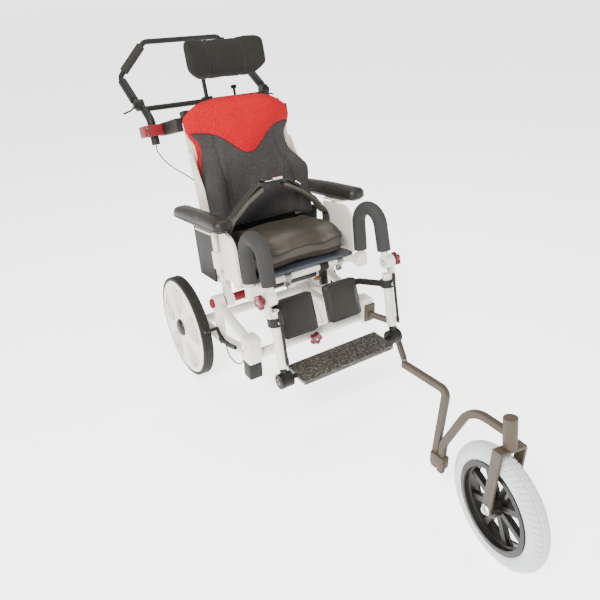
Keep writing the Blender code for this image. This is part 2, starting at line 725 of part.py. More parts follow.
def seat_frame(frame, paint):
    """Rails, cross bars, pivot sleeves, back hinge plates and pins, and the leg rest receivers."""
    parts = []
    hinge_plate = 0.005
    for sign in (1, -1):
        x = sign * RAIL_X
        parts.append(cylinder((x, RAIL_REAR, RAIL_LIFT), (x, -RAIL_FRONT, RAIL_LIFT), RAIL_RADIUS))
        parts.append(across(x - 0.012, x + 0.012, 0, 0, PIVOT_TUBE_RADIUS + 0.0075, FINE_FACETS))
        parts.append(box((x - 0.008, -0.014, 0.005), (x + 0.008, 0.012, RAIL_LIFT)))
        low_z = BACK_PIVOT_LIFT - 0.014
        plate = extruded([(-0.012, low_z + 0.012), (0.020, low_z), (BACK_PIVOT_BACK + 0.010, low_z),
                          (BACK_PIVOT_BACK + 0.016, low_z + 0.008), (BACK_PIVOT_BACK + 0.014, low_z + 0.024),
                          (0.030, RAIL_LIFT + 0.006), (-0.012, RAIL_LIFT + 0.006)],
                         x - hinge_plate / 2, x + hinge_plate / 2)
        parts.append(plate)
        parts.append(across(x, sign * (POST_X - 0.014), BACK_PIVOT_BACK, BACK_PIVOT_LIFT, AXLE_RADIUS))
        receiver_in = sign * (RAIL_X + 0.004)
        receiver_out = sign * (LEG_X + 0.012)
        parts.append(box((min(receiver_in, receiver_out), -HANGER_REAR - 0.012, RAIL_LIFT - 0.020),
                         (max(receiver_in, receiver_out), -HANGER_REAR + 0.012, RAIL_LIFT + 0.015),
                         bevel=0.002, segments=1))
        shelf_out = sign * (GUARD_INSIDE + GUARD_THICKNESS)
        for shelf_y in (-GUARD_FRONT + 0.022, -GUARD_REAR - 0.022):
            parts.append(box((min(receiver_in, shelf_out), shelf_y - 0.009, RAIL_LIFT - 0.006),
                             (max(receiver_in, shelf_out), shelf_y + 0.009, RAIL_LIFT + 0.006)))
    for y in (-SEAT_FRONT + 0.016, -0.100):
        parts.append(across(-RAIL_X, RAIL_X, y, RAIL_LIFT, RAIL_RADIUS - 0.001))
    body = union(parts[0], *parts[1:])
    bore = PIVOT_TUBE_RADIUS + RUN
    body = cut(body, across(-RAIL_X - 0.02, RAIL_X + 0.02, 0, 0, bore, FINE_FACETS))
    finish(body, "seat_frame", paint["white"], frame=frame)
    pan_half = RAIL_X + 0.002
    pan = box((-pan_half, -SEAT_FRONT + 0.004, PAN_BOTTOM), (pan_half, SEAT_REAR - 0.010, PAN_TOP),
              bevel=0.002, segments=1)
    finish(pan, "seat_pan", paint["grey"], frame=frame)


def seat_cushion(frame, paint):
    """Crowned cushion with drawn-in sides and a rounded, rolled front edge."""
    half = (SEAT_WIDTH / 2, (SEAT_FRONT + SEAT_REAR) / 2, SEAT_THICKNESS / 2)
    middle = Vector((0, (SEAT_REAR - SEAT_FRONT) / 2, SEAT_BOTTOM + half[2]))

    def shape(u, v, w):
        place = rounded(u, v, w, half, 0.020)
        crown = 0.008 * (1 - u * u) * (1 - v * v)
        pinch = 1 - 0.018 * (1 - w * w)
        rise = crown if w > 0 else 0.0
        front_roll = -0.007 * max(0.0, -v - 0.5) if w > 0 else 0.0
        side_rise = 0.006 * u ** 4 * (1 - abs(v)) if w > 0 else 0.0
        drop = 0.008
        return middle + Vector((place.x * pinch, place.y * pinch,
                                place.z + (rise + front_roll + side_rise - drop) * max(0.0, w)))

    finish(soft_block((10, 8, 4), shape), "seat_cushion", paint["dark_cloth"], frame=frame)


def side_guard(side, frame, paint):
    """White panel beside the seat with the armrest's socket on its outer face."""
    sign = SIDES[side]
    bottom = RAIL_LIFT + 0.006 + GAP
    corner = 0.045
    outline = [(-GUARD_REAR, bottom), (-GUARD_REAR, GUARD_TOP)]
    outline += arc((-GUARD_FRONT + corner, GUARD_TOP - corner), corner, 90, 180, 6)
    outline.append((-GUARD_FRONT, bottom))
    x0 = sign * GUARD_INSIDE
    x1 = sign * (GUARD_INSIDE + GUARD_THICKNESS)
    panel = extruded(outline, x0, x1)
    post_x = post_middle(sign)
    wall = 0.004
    inner_edge = x1 - sign * 0.002
    outer_edge = post_x + sign * (ARM_POST_THICKNESS / 2 + wall)
    half = ARM_POST_WIDTH / 2 + wall
    socket = box((min(inner_edge, outer_edge), -ARM_POST_BACK - half, 0.112),
                 (max(inner_edge, outer_edge), -ARM_POST_BACK + half, 0.158), bevel=0.0015, segments=1)
    slot = box((post_x - ARM_POST_THICKNESS / 2 - RUN, -ARM_POST_BACK - ARM_POST_WIDTH / 2 - RUN, 0.10),
               (post_x + ARM_POST_THICKNESS / 2 + RUN, -ARM_POST_BACK + ARM_POST_WIDTH / 2 + RUN, 0.17))
    finish(cut(union(panel, socket), slot), "side_guard_" + side, paint["white"], frame=frame)


def post_middle(sign):
    return sign * (GUARD_INSIDE + GUARD_THICKNESS + 0.004 + ARM_POST_THICKNESS / 2)


def armrest(side, frame, paint):
    """Flat post with a bearing plate, and the padded rest on it."""
    sign = SIDES[side]
    x = post_middle(sign)
    pad_x = sign * ARM_PAD_SPREAD / 2
    pad_bottom = ARM_PAD_TOP - ARM_PAD_THICKNESS
    plate_top = pad_bottom - GAP
    half = ARM_POST_WIDTH / 2
    post = box((x - ARM_POST_THICKNESS / 2, -ARM_POST_BACK - half, 0.094),
               (x + ARM_POST_THICKNESS / 2, -ARM_POST_BACK + half, plate_top - 0.002))
    plate = box((pad_x - 0.018, -ARM_POST_BACK - 0.045, plate_top - 0.005),
                (pad_x + 0.018, -ARM_POST_BACK + 0.045, plate_top), bevel=0.0015, segments=1)
    finish(union(plate, post), "armrest_post_" + side, paint["grey"], frame=frame,
           pivot=(x, -ARM_POST_BACK, 0.135))
    size = (ARM_PAD_WIDTH / 2, ARM_PAD_LENGTH / 2, ARM_PAD_THICKNESS / 2)
    middle = Vector((pad_x, ARM_PAD_LENGTH / 2 - ARM_PAD_FRONT, ARM_PAD_TOP - size[2]))

    def shape(u, v, w):
        place = rounded(u, v, w, size, 0.0190)
        width = math.sqrt(max(0.0, 1 - 0.35 * abs(v) ** 6))
        return middle + Vector((place.x * width, place.y, place.z))

    finish(soft_block((4, 8, 4), shape), "armrest_pad_" + side, paint["black_cloth"], frame=frame,
           pivot=(x, -ARM_POST_BACK, 0.135))


def lap_belt(frame, paint):
    """Hip belt in an arch over the seat with its padded inner band, and the buckle on its crest."""
    foot_x, belt_y = SEAT_WIDTH / 2 + 0.0085, -0.052
    low = RAIL_LIFT + 0.006 + GAP
    crest = SEAT_BOTTOM + SEAT_THICKNESS + 0.130
    half = [(foot_x, belt_y, low), (foot_x, belt_y, crest - 0.118), (foot_x - 0.036, belt_y, crest - 0.070),
            (0.084, belt_y, crest - 0.036), (0.044, belt_y, crest - 0.007)]
    webbing = bar(half + [(-x, y, z) for x, y, z in reversed(half)], 0.030, 0.003, bend=0.03,
                  width_along=(0, 1, 0))
    inset = 0.0075
    pad_half = [(foot_x - 0.029, belt_y, crest - 0.094), (0.082, belt_y, crest - 0.034 - inset),
                (0.042, belt_y, crest - 0.007 - inset)]
    pad = bar(pad_half + [(-x, y, z) for x, y, z in reversed(pad_half)], 0.044, 0.013, bend=0.03,
              width_along=(0, 1, 0))
    finish(union(webbing, pad), "lap_belt", paint["webbing"], frame=frame)
    seat = crest - 0.007 + 0.0015 + GAP
    buckle = box((-0.028, belt_y - 0.020, seat), (0.028, belt_y + 0.020, seat + 0.011), bevel=0.003)
    finish(buckle, "belt_buckle", paint["black"], frame=frame)


def back_frame(frame, paint):
    """Posts with hinge bosses, side plates, cross bars and the brackets for the push bar."""
    bar_back = 0.0013
    parts = [across(-POST_X, POST_X, bar_back, lift, 0.008, 14) for lift in (0.130, POST_LENGTH - 0.013)]
    for sign in (1, -1):
        x = sign * POST_X
        parts.append(cylinder((x, 0, 0.008), (x, 0, POST_LENGTH - 0.002), POST_RADIUS, 14))
        parts.append(across(x - 0.0120, x + 0.0128, 0, 0, 0.016, FINE_FACETS))
        plate_in, plate_out = SIDE_PLATE_X, SIDE_PLATE_X + 0.005
        plate = extruded([(-0.050, -0.012), (0.050, 0.004), (0.030, 0.148), (-0.094, 0.134)],
                         min(sign * plate_in, sign * plate_out), max(sign * plate_in, sign * plate_out))
        parts.append(plate)
        into_plate = sign * (plate_in + 0.002)
        parts.append(box((min(x, into_plate), -0.009, 0.066), (max(x, into_plate), 0.009, 0.110)))
        bracket_in, bracket_out = sign * (POST_X + 0.009), sign * (PUSH_X - 0.0285)
        parts.append(box((min(bracket_in, bracket_out), -0.012, CLAMP_CENTRE - 0.017),
                         (max(bracket_in, bracket_out), PUSH_BACK + 0.018, CLAMP_CENTRE + 0.017),
                         bevel=0.002, segments=1))
        parts.append(box((x - 0.0150, -0.0150, POST_LENGTH - 0.024), (x + 0.0150, 0.0150, POST_LENGTH),
                         bevel=0.002, segments=1))
    body = union(*parts)
    body = cut(body, across(-POST_X - 0.02, POST_X + 0.02, 0, 0, AXLE_RADIUS + RUN))
    finish(body, "back_frame", paint["black"], frame=frame)
    half = CUSHION_WIDTH / 2
    plate = box((-half - 0.004, SHELL_FRONT_FACE, SHELL_BOTTOM), (half + 0.004, SHELL_BACK_FACE, SHELL_TOP),
                bevel=0.002, segments=1)
    flanges = []
    for sign in (1, -1):
        inside, outside = sign * (half + 0.0006), sign * (half + 0.0046)
        flanges.append(extruded([(SHELL_BACK_FACE - 0.001, 0.170), (SHELL_BACK_FACE - 0.001, 0.345),
                                 (SHELL_FRONT_FACE - 0.016, 0.335), (SHELL_FRONT_FACE - 0.050, 0.240),
                                 (SHELL_FRONT_FACE - 0.050, 0.170)],
                                min(inside, outside), max(inside, outside)))
    finish(union(plate, *flanges), "back_shell", paint["cream"], frame=frame)


def back_cushion(frame, paint):
    """One contoured back cushion with raised sides, parted along a wavy seam into two covers."""
    half = CUSHION_WIDTH / 2 - 0.0004
    tall = CUSHION_TOP - CUSHION_BOTTOM
    shoulder = 0.044

    def shape(u, v, w):
        high = (w + 1) / 2
        side = math.sin(math.pi / 2 * u)
        front = (1 - v) / 2
        fade = smooth((0.65 - high) / 0.29)
        edge = smooth((abs(side) - 0.5) / 0.38)
        centre_depth = 0.062 - 0.034 * high
        edge_depth = 0.014 + 0.082 * fade
        depth = centre_depth + (edge_depth - centre_depth) * edge - 0.006 * high ** 8
        rise = smooth((high - 0.70) / 0.15)
        width = half - front * (0.004 + 0.012 * (1 - fade) * (1 - rise)) + CUSHION_FLARE * rise
        z = CUSHION_BOTTOM + tall * high - shoulder * high ** 2 * side ** 4 - 0.006 * front * high ** 8
        return Vector((side * width, CUSHION_BACK_FACE - front * depth, z))

    whole = soft_block((12, 3, 11), shape)
    high = CUSHION_TOP + 0.05
    wave = []
    count = 22
    reach = half + CUSHION_FLARE + 0.02
    for k in range(count + 1):
        x = -reach + 2 * reach * k / count
        dip = math.exp(-((x / half) / 0.44) ** 2)
        wave.append((x, SEAM_SIDES - (SEAM_SIDES - SEAM_DIP) * dip))

    def prism(shift):
        bm = bmesh.new()
        loop = [(x, z + shift) for x, z in wave] + [(reach, high), (-reach, high)]
        face = bm.faces.new([bm.verts.new((x, -0.2, z)) for x, z in loop])
        grown = bmesh.ops.extrude_face_region(bm, geom=[face])
        new = [g for g in grown["geom"] if isinstance(g, bmesh.types.BMVert)]
        bmesh.ops.translate(bm, vec=(0, 0.25, 0), verts=new)
        return object_from_bmesh(bm)

    copy = object_from(whole.data.copy())
    upper = boolean(copy, [prism(GAP)], "INTERSECT")
    lower = boolean(whole, [prism(0)], "DIFFERENCE")
    finish(upper, "back_cushion_upper", paint["red_cloth"], frame=frame)
    finish(lower, "back_cushion_lower", paint["dark_cloth"], frame=frame)


def push_assembly(frame, paint):
    """Lower tubes and cross bar, red clamps, hinged upper handle with grips, and release levers."""
    tube_x = PUSH_X - 0.006
    handle_x = PUSH_X + 0.006
    hinge = Vector((0, HINGE_BACK, HINGE_LIFT))
    low_corner = Vector((0, PUSH_BACK, CLAMP_CENTRE + 0.029))
    low_dir = (low_corner - hinge).normalized()
    tube_end = hinge + low_dir * 0.024
    corner = Vector((0, HANDLE_CORNER_BACK, HANDLE_CORNER_LIFT))
    high_dir = (corner - hinge).normalized()
    bar_start = hinge + high_dir * 0.024
    base_parts, handle_parts = [], []
    cross = low_corner.lerp(hinge, 0.72)
    base_parts.append(across(-tube_x, tube_x, cross.y, cross.z, 0.0075))
    base_parts.append(box((-0.014, cross.y - 0.013, cross.z - 0.012),
                          (0.014, cross.y + 0.013, cross.z + 0.012), bevel=0.002, segments=1))
    for sign in (1, -1):
        x = sign * tube_x
        base_parts.append(rod([(x, PUSH_BACK, PUSH_LOW_END), (x, low_corner.y, low_corner.z),
                               (x, tube_end.y, tube_end.z)], PUSH_TUBE_RADIUS, bend=0.03))
        lug_out = sign * (PUSH_X - GAP / 2)
        lug_in = lug_out - sign * 0.010
        base_parts.append(across(lug_in, lug_out, hinge.y, hinge.z, HINGE_RADIUS, FINE_FACETS))
        base_parts.append(bar([((lug_in + lug_out) / 2, hinge.y, hinge.z),
                               ((lug_in + lug_out) / 2, tube_end.y + low_dir.y * 0.008,
                                tube_end.z + low_dir.z * 0.008)], 0.0096, 0.020))
        ear_in = sign * (PUSH_X + GAP / 2)
        ear_out = ear_in + sign * 0.010
        handle_parts.append(across(ear_in, ear_out, hinge.y, hinge.z, HINGE_RADIUS, FINE_FACETS))
        handle_parts.append(bar([((ear_in + ear_out) / 2, hinge.y, hinge.z),
                                 ((ear_in + ear_out) / 2, bar_start.y + high_dir.y * 0.008,
                                  bar_start.z + high_dir.z * 0.008)], 0.0096, 0.020))
        sleeve_end = corner - high_dir * 0.022
        handle_parts.append(cylinder((sign * handle_x, bar_start.y, bar_start.z),
                                     (sign * handle_x, sleeve_end.y, sleeve_end.z), 0.0125))
    bore = cylinder((0, cross.y, cross.z - 0.03), (0, cross.y, cross.z + 0.03), STEM_RADIUS + RUN)
    finish(cut(union(*base_parts), bore), "push_base", paint["black"], frame=frame)
    top_x = HANDLE_TOP_SPREAD / 2
    route = [(-handle_x, bar_start.y, bar_start.z), (-handle_x, corner.y, corner.z),
             (-top_x, HANDLE_TOP_BACK, HANDLE_TOP_LIFT), (top_x, HANDLE_TOP_BACK, HANDLE_TOP_LIFT),
             (handle_x, corner.y, corner.z), (handle_x, bar_start.y, bar_start.z)]
    hoop = rod(route, HANDLE_RADIUS, bend=0.022)
    finish(union(hoop, *handle_parts), "push_bar", paint["black"], frame=frame, pivot=hinge)
    for side, sign in SIDES.items():
        first = Vector((sign * handle_x, corner.y, corner.z))
        last = Vector((sign * top_x, HANDLE_TOP_BACK, HANDLE_TOP_LIFT))
        along = (last - first).normalized()
        start, end = first + along * 0.020, last - along * 0.014
        grip = cylinder(start, end, GRIP_RADIUS)
        bore = cylinder(start - along * 0.01, end + along * 0.01, HANDLE_RADIUS + GAP)
        finish(cut(grip, bore), "push_grip_" + side, paint["foam"], frame=frame, pivot=hinge)
        block_in = sign * (PUSH_X - 0.0285 + GAP)
        block_out = sign * (PUSH_X + 0.026)
        block = box((min(block_in, block_out), PUSH_BACK - 0.024, CLAMP_CENTRE - CLAMP_BLOCK_HEIGHT / 2),
                    (max(block_in, block_out), PUSH_BACK + 0.024, CLAMP_CENTRE + CLAMP_BLOCK_HEIGHT / 2),
                    bevel=0.003, segments=1)
        hole = cylinder((sign * tube_x, PUSH_BACK, CLAMP_CENTRE - 0.03),
                        (sign * tube_x, PUSH_BACK, CLAMP_CENTRE + 0.03), PUSH_TUBE_RADIUS + GAP, FINE_FACETS)
        finish(cut(block, hole), "push_clamp_" + side, paint["red_metal"], frame=frame)
        seat_x = sign * (PUSH_X + GAP / 2 + 0.010 + GAP)
        lever_hub = across(seat_x, seat_x + sign * 0.007, hinge.y, hinge.z, 0.009)
        lever_x = seat_x + sign * 0.0045
        lever_arm = rod([(lever_x, hinge.y, hinge.z),
                         (lever_x + sign * 0.008, hinge.y + 0.012, hinge.z - 0.010),
                         (lever_x + sign * 0.030, hinge.y + 0.020, hinge.z - 0.016)],
                        0.0025, bend=0.006, resolution=2)
        finish(union(lever_hub, lever_arm), "push_lever_" + side, paint["black"], frame=frame,
               pivot=(seat_x, hinge.y, hinge.z))
    return cross


def cross_bar_knob(cross, frame, paint):
    """Clamping knob that turns on its screw above the cross bar."""
    x, seat = 0.093, cross.z + 0.0075 + GAP
    knob = union(cylinder((x, cross.y, seat), (x, cross.y, seat + 0.020), 0.004),
                 cylinder((x, cross.y, seat + 0.018), (x, cross.y, seat + 0.028), 0.009))
    finish(knob, "cross_bar_knob", paint["black"], frame=frame, pivot=(x, cross.y, seat))


def headrest(cross, frame, paint):
    """Stem that slides in the cross bar's block, and the curved pad hinged on its end."""
    pad_back = HEAD_PAD_BACK + HEAD_PAD_THICKNESS / 2
    barrel_radius = 0.009
    barrel_y = pad_back + barrel_radius + GAP
    stem_y = cross.y
    stem = rod([(0, stem_y, cross.z - 0.055), (0, stem_y, HEAD_PAD_LIFT), (0, barrel_y, HEAD_PAD_LIFT)],
               STEM_RADIUS, bend=0.022)
    barrel = across(-0.020, 0.020, barrel_y, HEAD_PAD_LIFT, barrel_radius)
    finish(union(stem, barrel), "head_stem", paint["black"], frame=frame, pivot=(0, stem_y, cross.z))
    size = (HEAD_PAD_WIDTH / 2, HEAD_PAD_THICKNESS / 2, HEAD_PAD_HEIGHT / 2)
    middle = Vector((0, HEAD_PAD_BACK, HEAD_PAD_LIFT))

    def shape(u, v, w):
        place = rounded(u, v, w, size, 0.022)
        share = place.x / size[0]
        forward = 0.034 * max(0.0, abs(share) - 0.25) ** 1.6 / 0.75 ** 1.6
        corner = smooth((abs(share) - 0.62) / 0.38)
        height = place.z * (1 - (0.34 if place.z < 0 else 0.12) * corner)
        swell = -0.005 * (1 - w * w) * (1 - v) / 2
        return middle + Vector((place.x, place.y - forward + swell, height))

    finish(soft_block((10, 4, 6), shape), "head_pad", paint["black_cloth"], frame=frame,
           pivot=(0, barrel_y, HEAD_PAD_LIFT))


def hanger_route(sign, low_rear, low_front):
    """The inverted U of a leg rest hanger, in the seat's frame; its front leg slopes forward."""
    x = sign * LEG_X
    route = [Vector((x, -HANGER_REAR, low_rear))]
    for y, z in arc((-HANGER_REAR - HANGER_BEND, HANGER_STRAIGHT_TOP), HANGER_BEND, 0, 180, 6):
        route.append(Vector((x, y, z)))
    share = (HANGER_STRAIGHT_TOP - low_front) / (HANGER_STRAIGHT_TOP - LEG_PIVOT_LIFT)
    route.append(Vector((x, -HANGER_REAR - 2 * HANGER_BEND - share * HANGER_LEAN, low_front)))
    return route


def leg_hanger(side, frame, paint):
    """Hanger tube with its pivot disc, and the foam pad over its bend."""
    sign = SIDES[side]
    tube = rod(hanger_route(sign, RAIL_LIFT + 0.015 + GAP, LEG_PIVOT_LIFT + 0.006), HANGER_RADIUS)
    disc_out = sign * (LEG_X + HANGER_RADIUS + 0.0006)
    disc = across(sign * (LEG_X - 0.007), disc_out, -HANGER_FRONT, LEG_PIVOT_LIFT, 0.017, FINE_FACETS)
    finish(union(tube, disc), "leg_hanger_" + side, paint["white"], frame=frame)
    pad = rod(hanger_route(sign, 0.104, 0.120), HANGER_PAD_RADIUS)
    hollow = rod(hanger_route(sign, 0.09, 0.100), HANGER_RADIUS + GAP)
    finish(cut(pad, hollow), "hanger_pad_" + side, paint["black_cloth"], frame=frame)


def leg_tube(side, frame, paint):
    """Outer leg tube with its pivot disc and the slim rod in front of it."""
    sign = SIDES[side]
    x = sign * LEG_X
    disc_in = sign * (LEG_X + HANGER_RADIUS + 0.0006 + GAP)
    disc_out = disc_in + sign * 0.0085
    disc = across(disc_in, disc_out, 0, 0, 0.017, FINE_FACETS)
    web_in = sign * (LEG_X + 0.004)
    web = box((min(disc_in, disc_out), -0.011, -LEG_TUBE_TOP - 0.014),
              (max(disc_in, disc_out), 0.011, -0.004))
    foot_of_web = box((min(web_in, disc_out), -0.009, -LEG_TUBE_TOP - 0.013),
                      (max(web_in, disc_out), 0.009, -LEG_TUBE_TOP - 0.001))
    tube = cylinder((x, 0, -LEG_TUBE_TOP), (x, 0, -LEG_TUBE_BOTTOM), LEG_TUBE_RADIUS)
    strut_y = -0.0270
    strut = rod([(x, strut_y, -0.026), (x, strut_y, -0.160)], 0.0035, resolution=2)
    ties = [rod([(x, 0, z), (x, strut_y, z)], 0.0033, resolution=2) for z in (-0.036, -0.150)]
    body = union(tube, foot_of_web, web, disc, strut, *ties)
    bore = cylinder((x, 0, -LEG_TUBE_TOP + 0.01), (x, 0, -LEG_TUBE_BOTTOM - 0.01), LEG_INNER_RADIUS + RUN)
    finish(cut(body, bore), "leg_tube_" + side, paint["white"], frame=frame)
    star_knob((disc_out + sign * GAP, 0, 0), (sign, 0, 0), "legrest_knob_" + side, paint, frame)


def foot_rest(frame, paint):
    """Inner leg tubes joined by the hinge bar, and the footplate that turns on it."""
    parts = []
    for sign in (1, -1):
        x = sign * LEG_X
        parts.append(cylinder((x, 0, -LEG_INNER_TOP), (x, 0, -FOOT_BAR_DROP), LEG_INNER_RADIUS))
        parts.append(across(x - 0.017, x + 0.017, 0, -FOOT_BAR_DROP, KNUCKLE_RADIUS, FINE_FACETS))
    parts.append(across(-LEG_X, LEG_X, 0, -FOOT_BAR_DROP, FOOT_BAR_RADIUS))
    finish(union(parts[0], *parts[1:]), "footrest_frame", paint["black"], frame=frame,
           pivot=(0, 0, -FOOT_BAR_DROP))
    half = FOOTPLATE_WIDTH / 2
    thick = FOOTPLATE_THICKNESS / 2
    plate = box((-half, -FOOTPLATE_FRONT, -FOOT_BAR_DROP - thick),
                (half, FOOTPLATE_REAR, -FOOT_BAR_DROP + thick), bevel=0.004)
    bore = across(-half - 0.01, half + 0.01, 0, -FOOT_BAR_DROP, FOOT_BAR_RADIUS + RUN)
    turned_by(plate, LEG_ANGLE + SEAT_TILT, "X", (0, 0, -FOOT_BAR_DROP))
    finish(cut(plate, bore), "footplate", paint["tread"], frame=frame, pivot=(0, 0, -FOOT_BAR_DROP))


def calf_rest(side, frame, paint):
    """Collar and bent arm on the leg tube, with the leaning calf pad on its plate."""
    sign = SIDES[side]
    x = sign * LEG_X
    height = 0.016
    plate_thick = 0.004
    collar = cylinder((x, 0, -COLLAR_DROP - 0.010), (x, 0, -COLLAR_DROP + 0.010), COLLAR_RADIUS, FINE_FACETS)
    pad_x = sign * CALF_PAD_SPREAD / 2
    pad_outer = pad_x + sign * CALF_PAD_SIZE / 2
    back = CALF_PAD_BACK + CALF_PAD_THICKNESS + GAP
    hinge = Vector((pad_x, back, -CALF_PAD_DROP))
    arm_y = back + plate_thick + 0.006
    arm = bar([(x - sign * 0.012, 0.006, -COLLAR_DROP),
               (pad_outer + sign * 0.014, arm_y - 0.020, -COLLAR_DROP),
               (pad_outer - sign * 0.004, arm_y + 0.004, -COLLAR_DROP - 0.004),
               (pad_x, arm_y, -COLLAR_DROP - 0.016)], height, 0.006, bend=0.010, width_along=(0, 0, 1))
    plate = box(hinge + Vector((-0.030, 0, -0.030)), hinge + Vector((0.030, plate_thick, 0.040)),
                bevel=0.001, segments=1)
    turned_by(plate, -CALF_PAD_LEAN, "X", hinge)
    bracket = union(collar, arm, plate)
    bore = cylinder((x, 0, -COLLAR_DROP - 0.03), (x, 0, -COLLAR_DROP + 0.03),
                    LEG_TUBE_RADIUS + RUN, FINE_FACETS)
    pivot = (x, 0, -COLLAR_DROP)
    finish(cut(bracket, bore), "calf_bracket_" + side, paint["black"], frame=frame, pivot=pivot)
    size = (CALF_PAD_SIZE / 2, CALF_PAD_THICKNESS / 2, CALF_PAD_SIZE / 2)
    middle = Vector((pad_x, CALF_PAD_BACK + size[1], -CALF_PAD_DROP))

    def shape(u, v, w):
        place = rounded(u, v, w, size, 0.010)
        crown = 0.006 * (1 - u * u) * (1 - w * w) * max(0.0, -v)
        return middle + Vector((place.x, place.y - crown + 0.006 * max(0.0, -v), place.z))

    pad = soft_block((4, 4, 4), shape)
    turned_by(pad, -CALF_PAD_LEAN, "X", hinge)
    finish(pad, "calf_pad_" + side, paint["black_cloth"], frame=frame, pivot=pivot)


def held_cables(back, paint):
    """Tilt release cable on the back, and the brake's cable loop under the right side."""
    tube_x = -(PUSH_X - 0.006)
    start = Vector((tube_x, PUSH_BACK, PUSH_LOW_END - 2 * GAP))
    end = Vector((-POST_X - POST_RADIUS - 0.0020, 0.002, 0.262))
    cable(back, paint, "tilt_cable", start, [start + Vector((0, 0, -0.020)),
          Vector((tube_x + 0.010, 0.068, 0.315)), end + Vector((-0.010, 0.026, 0.018))], end)
    under_tube = TUBE_RADIUS + 4 * GAP   # the tube slopes, so its surface reaches lower than its radius
    rear_y, front_y = PIVOT_Y - 0.024, LUG_Y + 0.040
    rear_end = Vector((-FRAME_X, rear_y, foot_tube_height(rear_y) - under_tube))
    front_end = Vector((-FRAME_X, front_y, foot_tube_height(front_y) - under_tube))
    down = Vector((0, 0, -0.008))
    cable(None, paint, "brake_cable", rear_end,
          [rear_end + down, Vector((-FRAME_X - 0.006, -0.212, 0.136)),
           Vector((-FRAME_X - 0.005, -0.262, 0.142)), front_end + down], front_end)


def cable(frame, paint, name, start, middle, end):
    """A thin held cable through a few places, as a smooth curve."""
    places = [start, *middle, end]
    places = [places[0] * 2 - places[1]] + places + [places[-1] * 2 - places[-2]]
    route = []
    for a, b, c, d in zip(places, places[1:], places[2:], places[3:]):
        steps = 4
        for k in range(steps):
            t = k / steps
            route.append(0.5 * ((2 * b) + (c - a) * t + (2 * a - 5 * b + 4 * c - d) * t * t
                                + (3 * b - 3 * c + d - a) * t ** 3))
    route.append(places[-2])
    finish(rod(route, CABLE_RADIUS, resolution=1), name, paint["black"], frame=frame)


def centre_origin():
    """Move the whole chair so that its bounding box stands on the origin."""
    bpy.context.view_layer.update()
    low, high = Vector((1e9,) * 3), Vector((-1e9,) * 3)
    for piece in bpy.context.scene.objects:
        if piece.type != "MESH":
            continue
        for corner in piece.data.vertices:
            place = piece.matrix_world @ corner.co
            low = Vector(map(min, low, place))
            high = Vector(map(max, high, place))
    shift = Vector((-(low.x + high.x) / 2, -(low.y + high.y) / 2, -low.z))
    for piece in bpy.context.scene.objects:
        if piece.parent is None:
            piece.location += shift


def build():
    clear_scene()
    paint = {
        "white": material("white_paint", (0.86, 0.85, 0.82), 0.32),
        "cream": material("cream_plastic", (0.82, 0.79, 0.70), 0.45),
        "black": material("black_paint", (0.025, 0.025, 0.027), 0.42),
        "grey": material("grey_paint", (0.22, 0.23, 0.25), 0.45, 0.3),
        "red_metal": material("red_anodised", (0.36, 0.03, 0.035), 0.35, 0.7),
        "bronze": material("dark_arm_paint", (0.13, 0.11, 0.095), 0.40, 0.4),
        "tyre": material("black_rubber", (0.03, 0.03, 0.03), 0.80),
        "grey_tyre": material("grey_rubber", (0.62, 0.62, 0.60), 0.80),
        "dark_cloth": material("dark_mesh_cloth", (0.06, 0.06, 0.065), 0.90),
        "black_cloth": material("black_cover", (0.04, 0.038, 0.036), 0.75),
        "red_cloth": material("red_cover", (0.68, 0.03, 0.035), 0.85),
        "foam": material("grip_foam", (0.045, 0.042, 0.040), 0.90),
        "webbing": material("belt_webbing", (0.15, 0.14, 0.13), 0.80),
        "tread": material("footplate_tread", (0.05, 0.045, 0.04), 0.60),
    }
    for side in SIDES:
        rear_wheel(side, paint)
        frame_side(side, paint)
        brake_lever(side, paint)
    base_tubes(paint)
    knob_y = LUG_Y - TUBE_RADIUS - GAP
    star_knob((0, knob_y, CROSS_TUBE_HEIGHT), (0, -1, 0), "centre_knob", paint)
    front_arm(paint)
    bottom, top, rake = wheel_arm(paint)
    steer, axle = front_fork(bottom, top, rake, paint)
    front_wheel(steer, axle, paint)

    seat = frame_at("seat_tilt", (0, PIVOT_Y, PIVOT_HEIGHT), SEAT_TILT)
    seat_frame(seat, paint)
    seat_cushion(seat, paint)
    lap_belt(seat, paint)
    back = frame_at("back_recline", (0, BACK_PIVOT_BACK, BACK_PIVOT_LIFT), BACK_RECLINE, seat)
    back_frame(back, paint)
    back_cushion(back, paint)
    cross = push_assembly(back, paint)
    cross_bar_knob(cross, back, paint)
    headrest(cross, back, paint)
    leg = frame_at("legrest_pivot", (0, -HANGER_FRONT, LEG_PIVOT_LIFT), LEG_ANGLE, seat)
    foot_rest(leg, paint)
    for side in SIDES:
        side_guard(side, seat, paint)
        armrest(side, seat, paint)
        leg_hanger(side, seat, paint)
        leg_tube(side, leg, paint)
        calf_rest(side, leg, paint)
    held_cables(back, paint)
    centre_origin()


build()
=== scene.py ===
"""Looks of the paediatric tilting wheelchair: detailed pieces, materials, light and camera.

Metres, +Z up. The chair faces -Y, so the user's left is +X. While modelling, the rear axle is at
y = 0 and the ground at z = 0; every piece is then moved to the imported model's place.
"""
import json
from itertools import product
from math import atan2, copysign, cos, exp, hypot, pi, radians, sin, sqrt, tan

import bmesh
import bpy
import numpy as np
from mathutils import Matrix, Vector
from mathutils.bvhtree import BVHTree


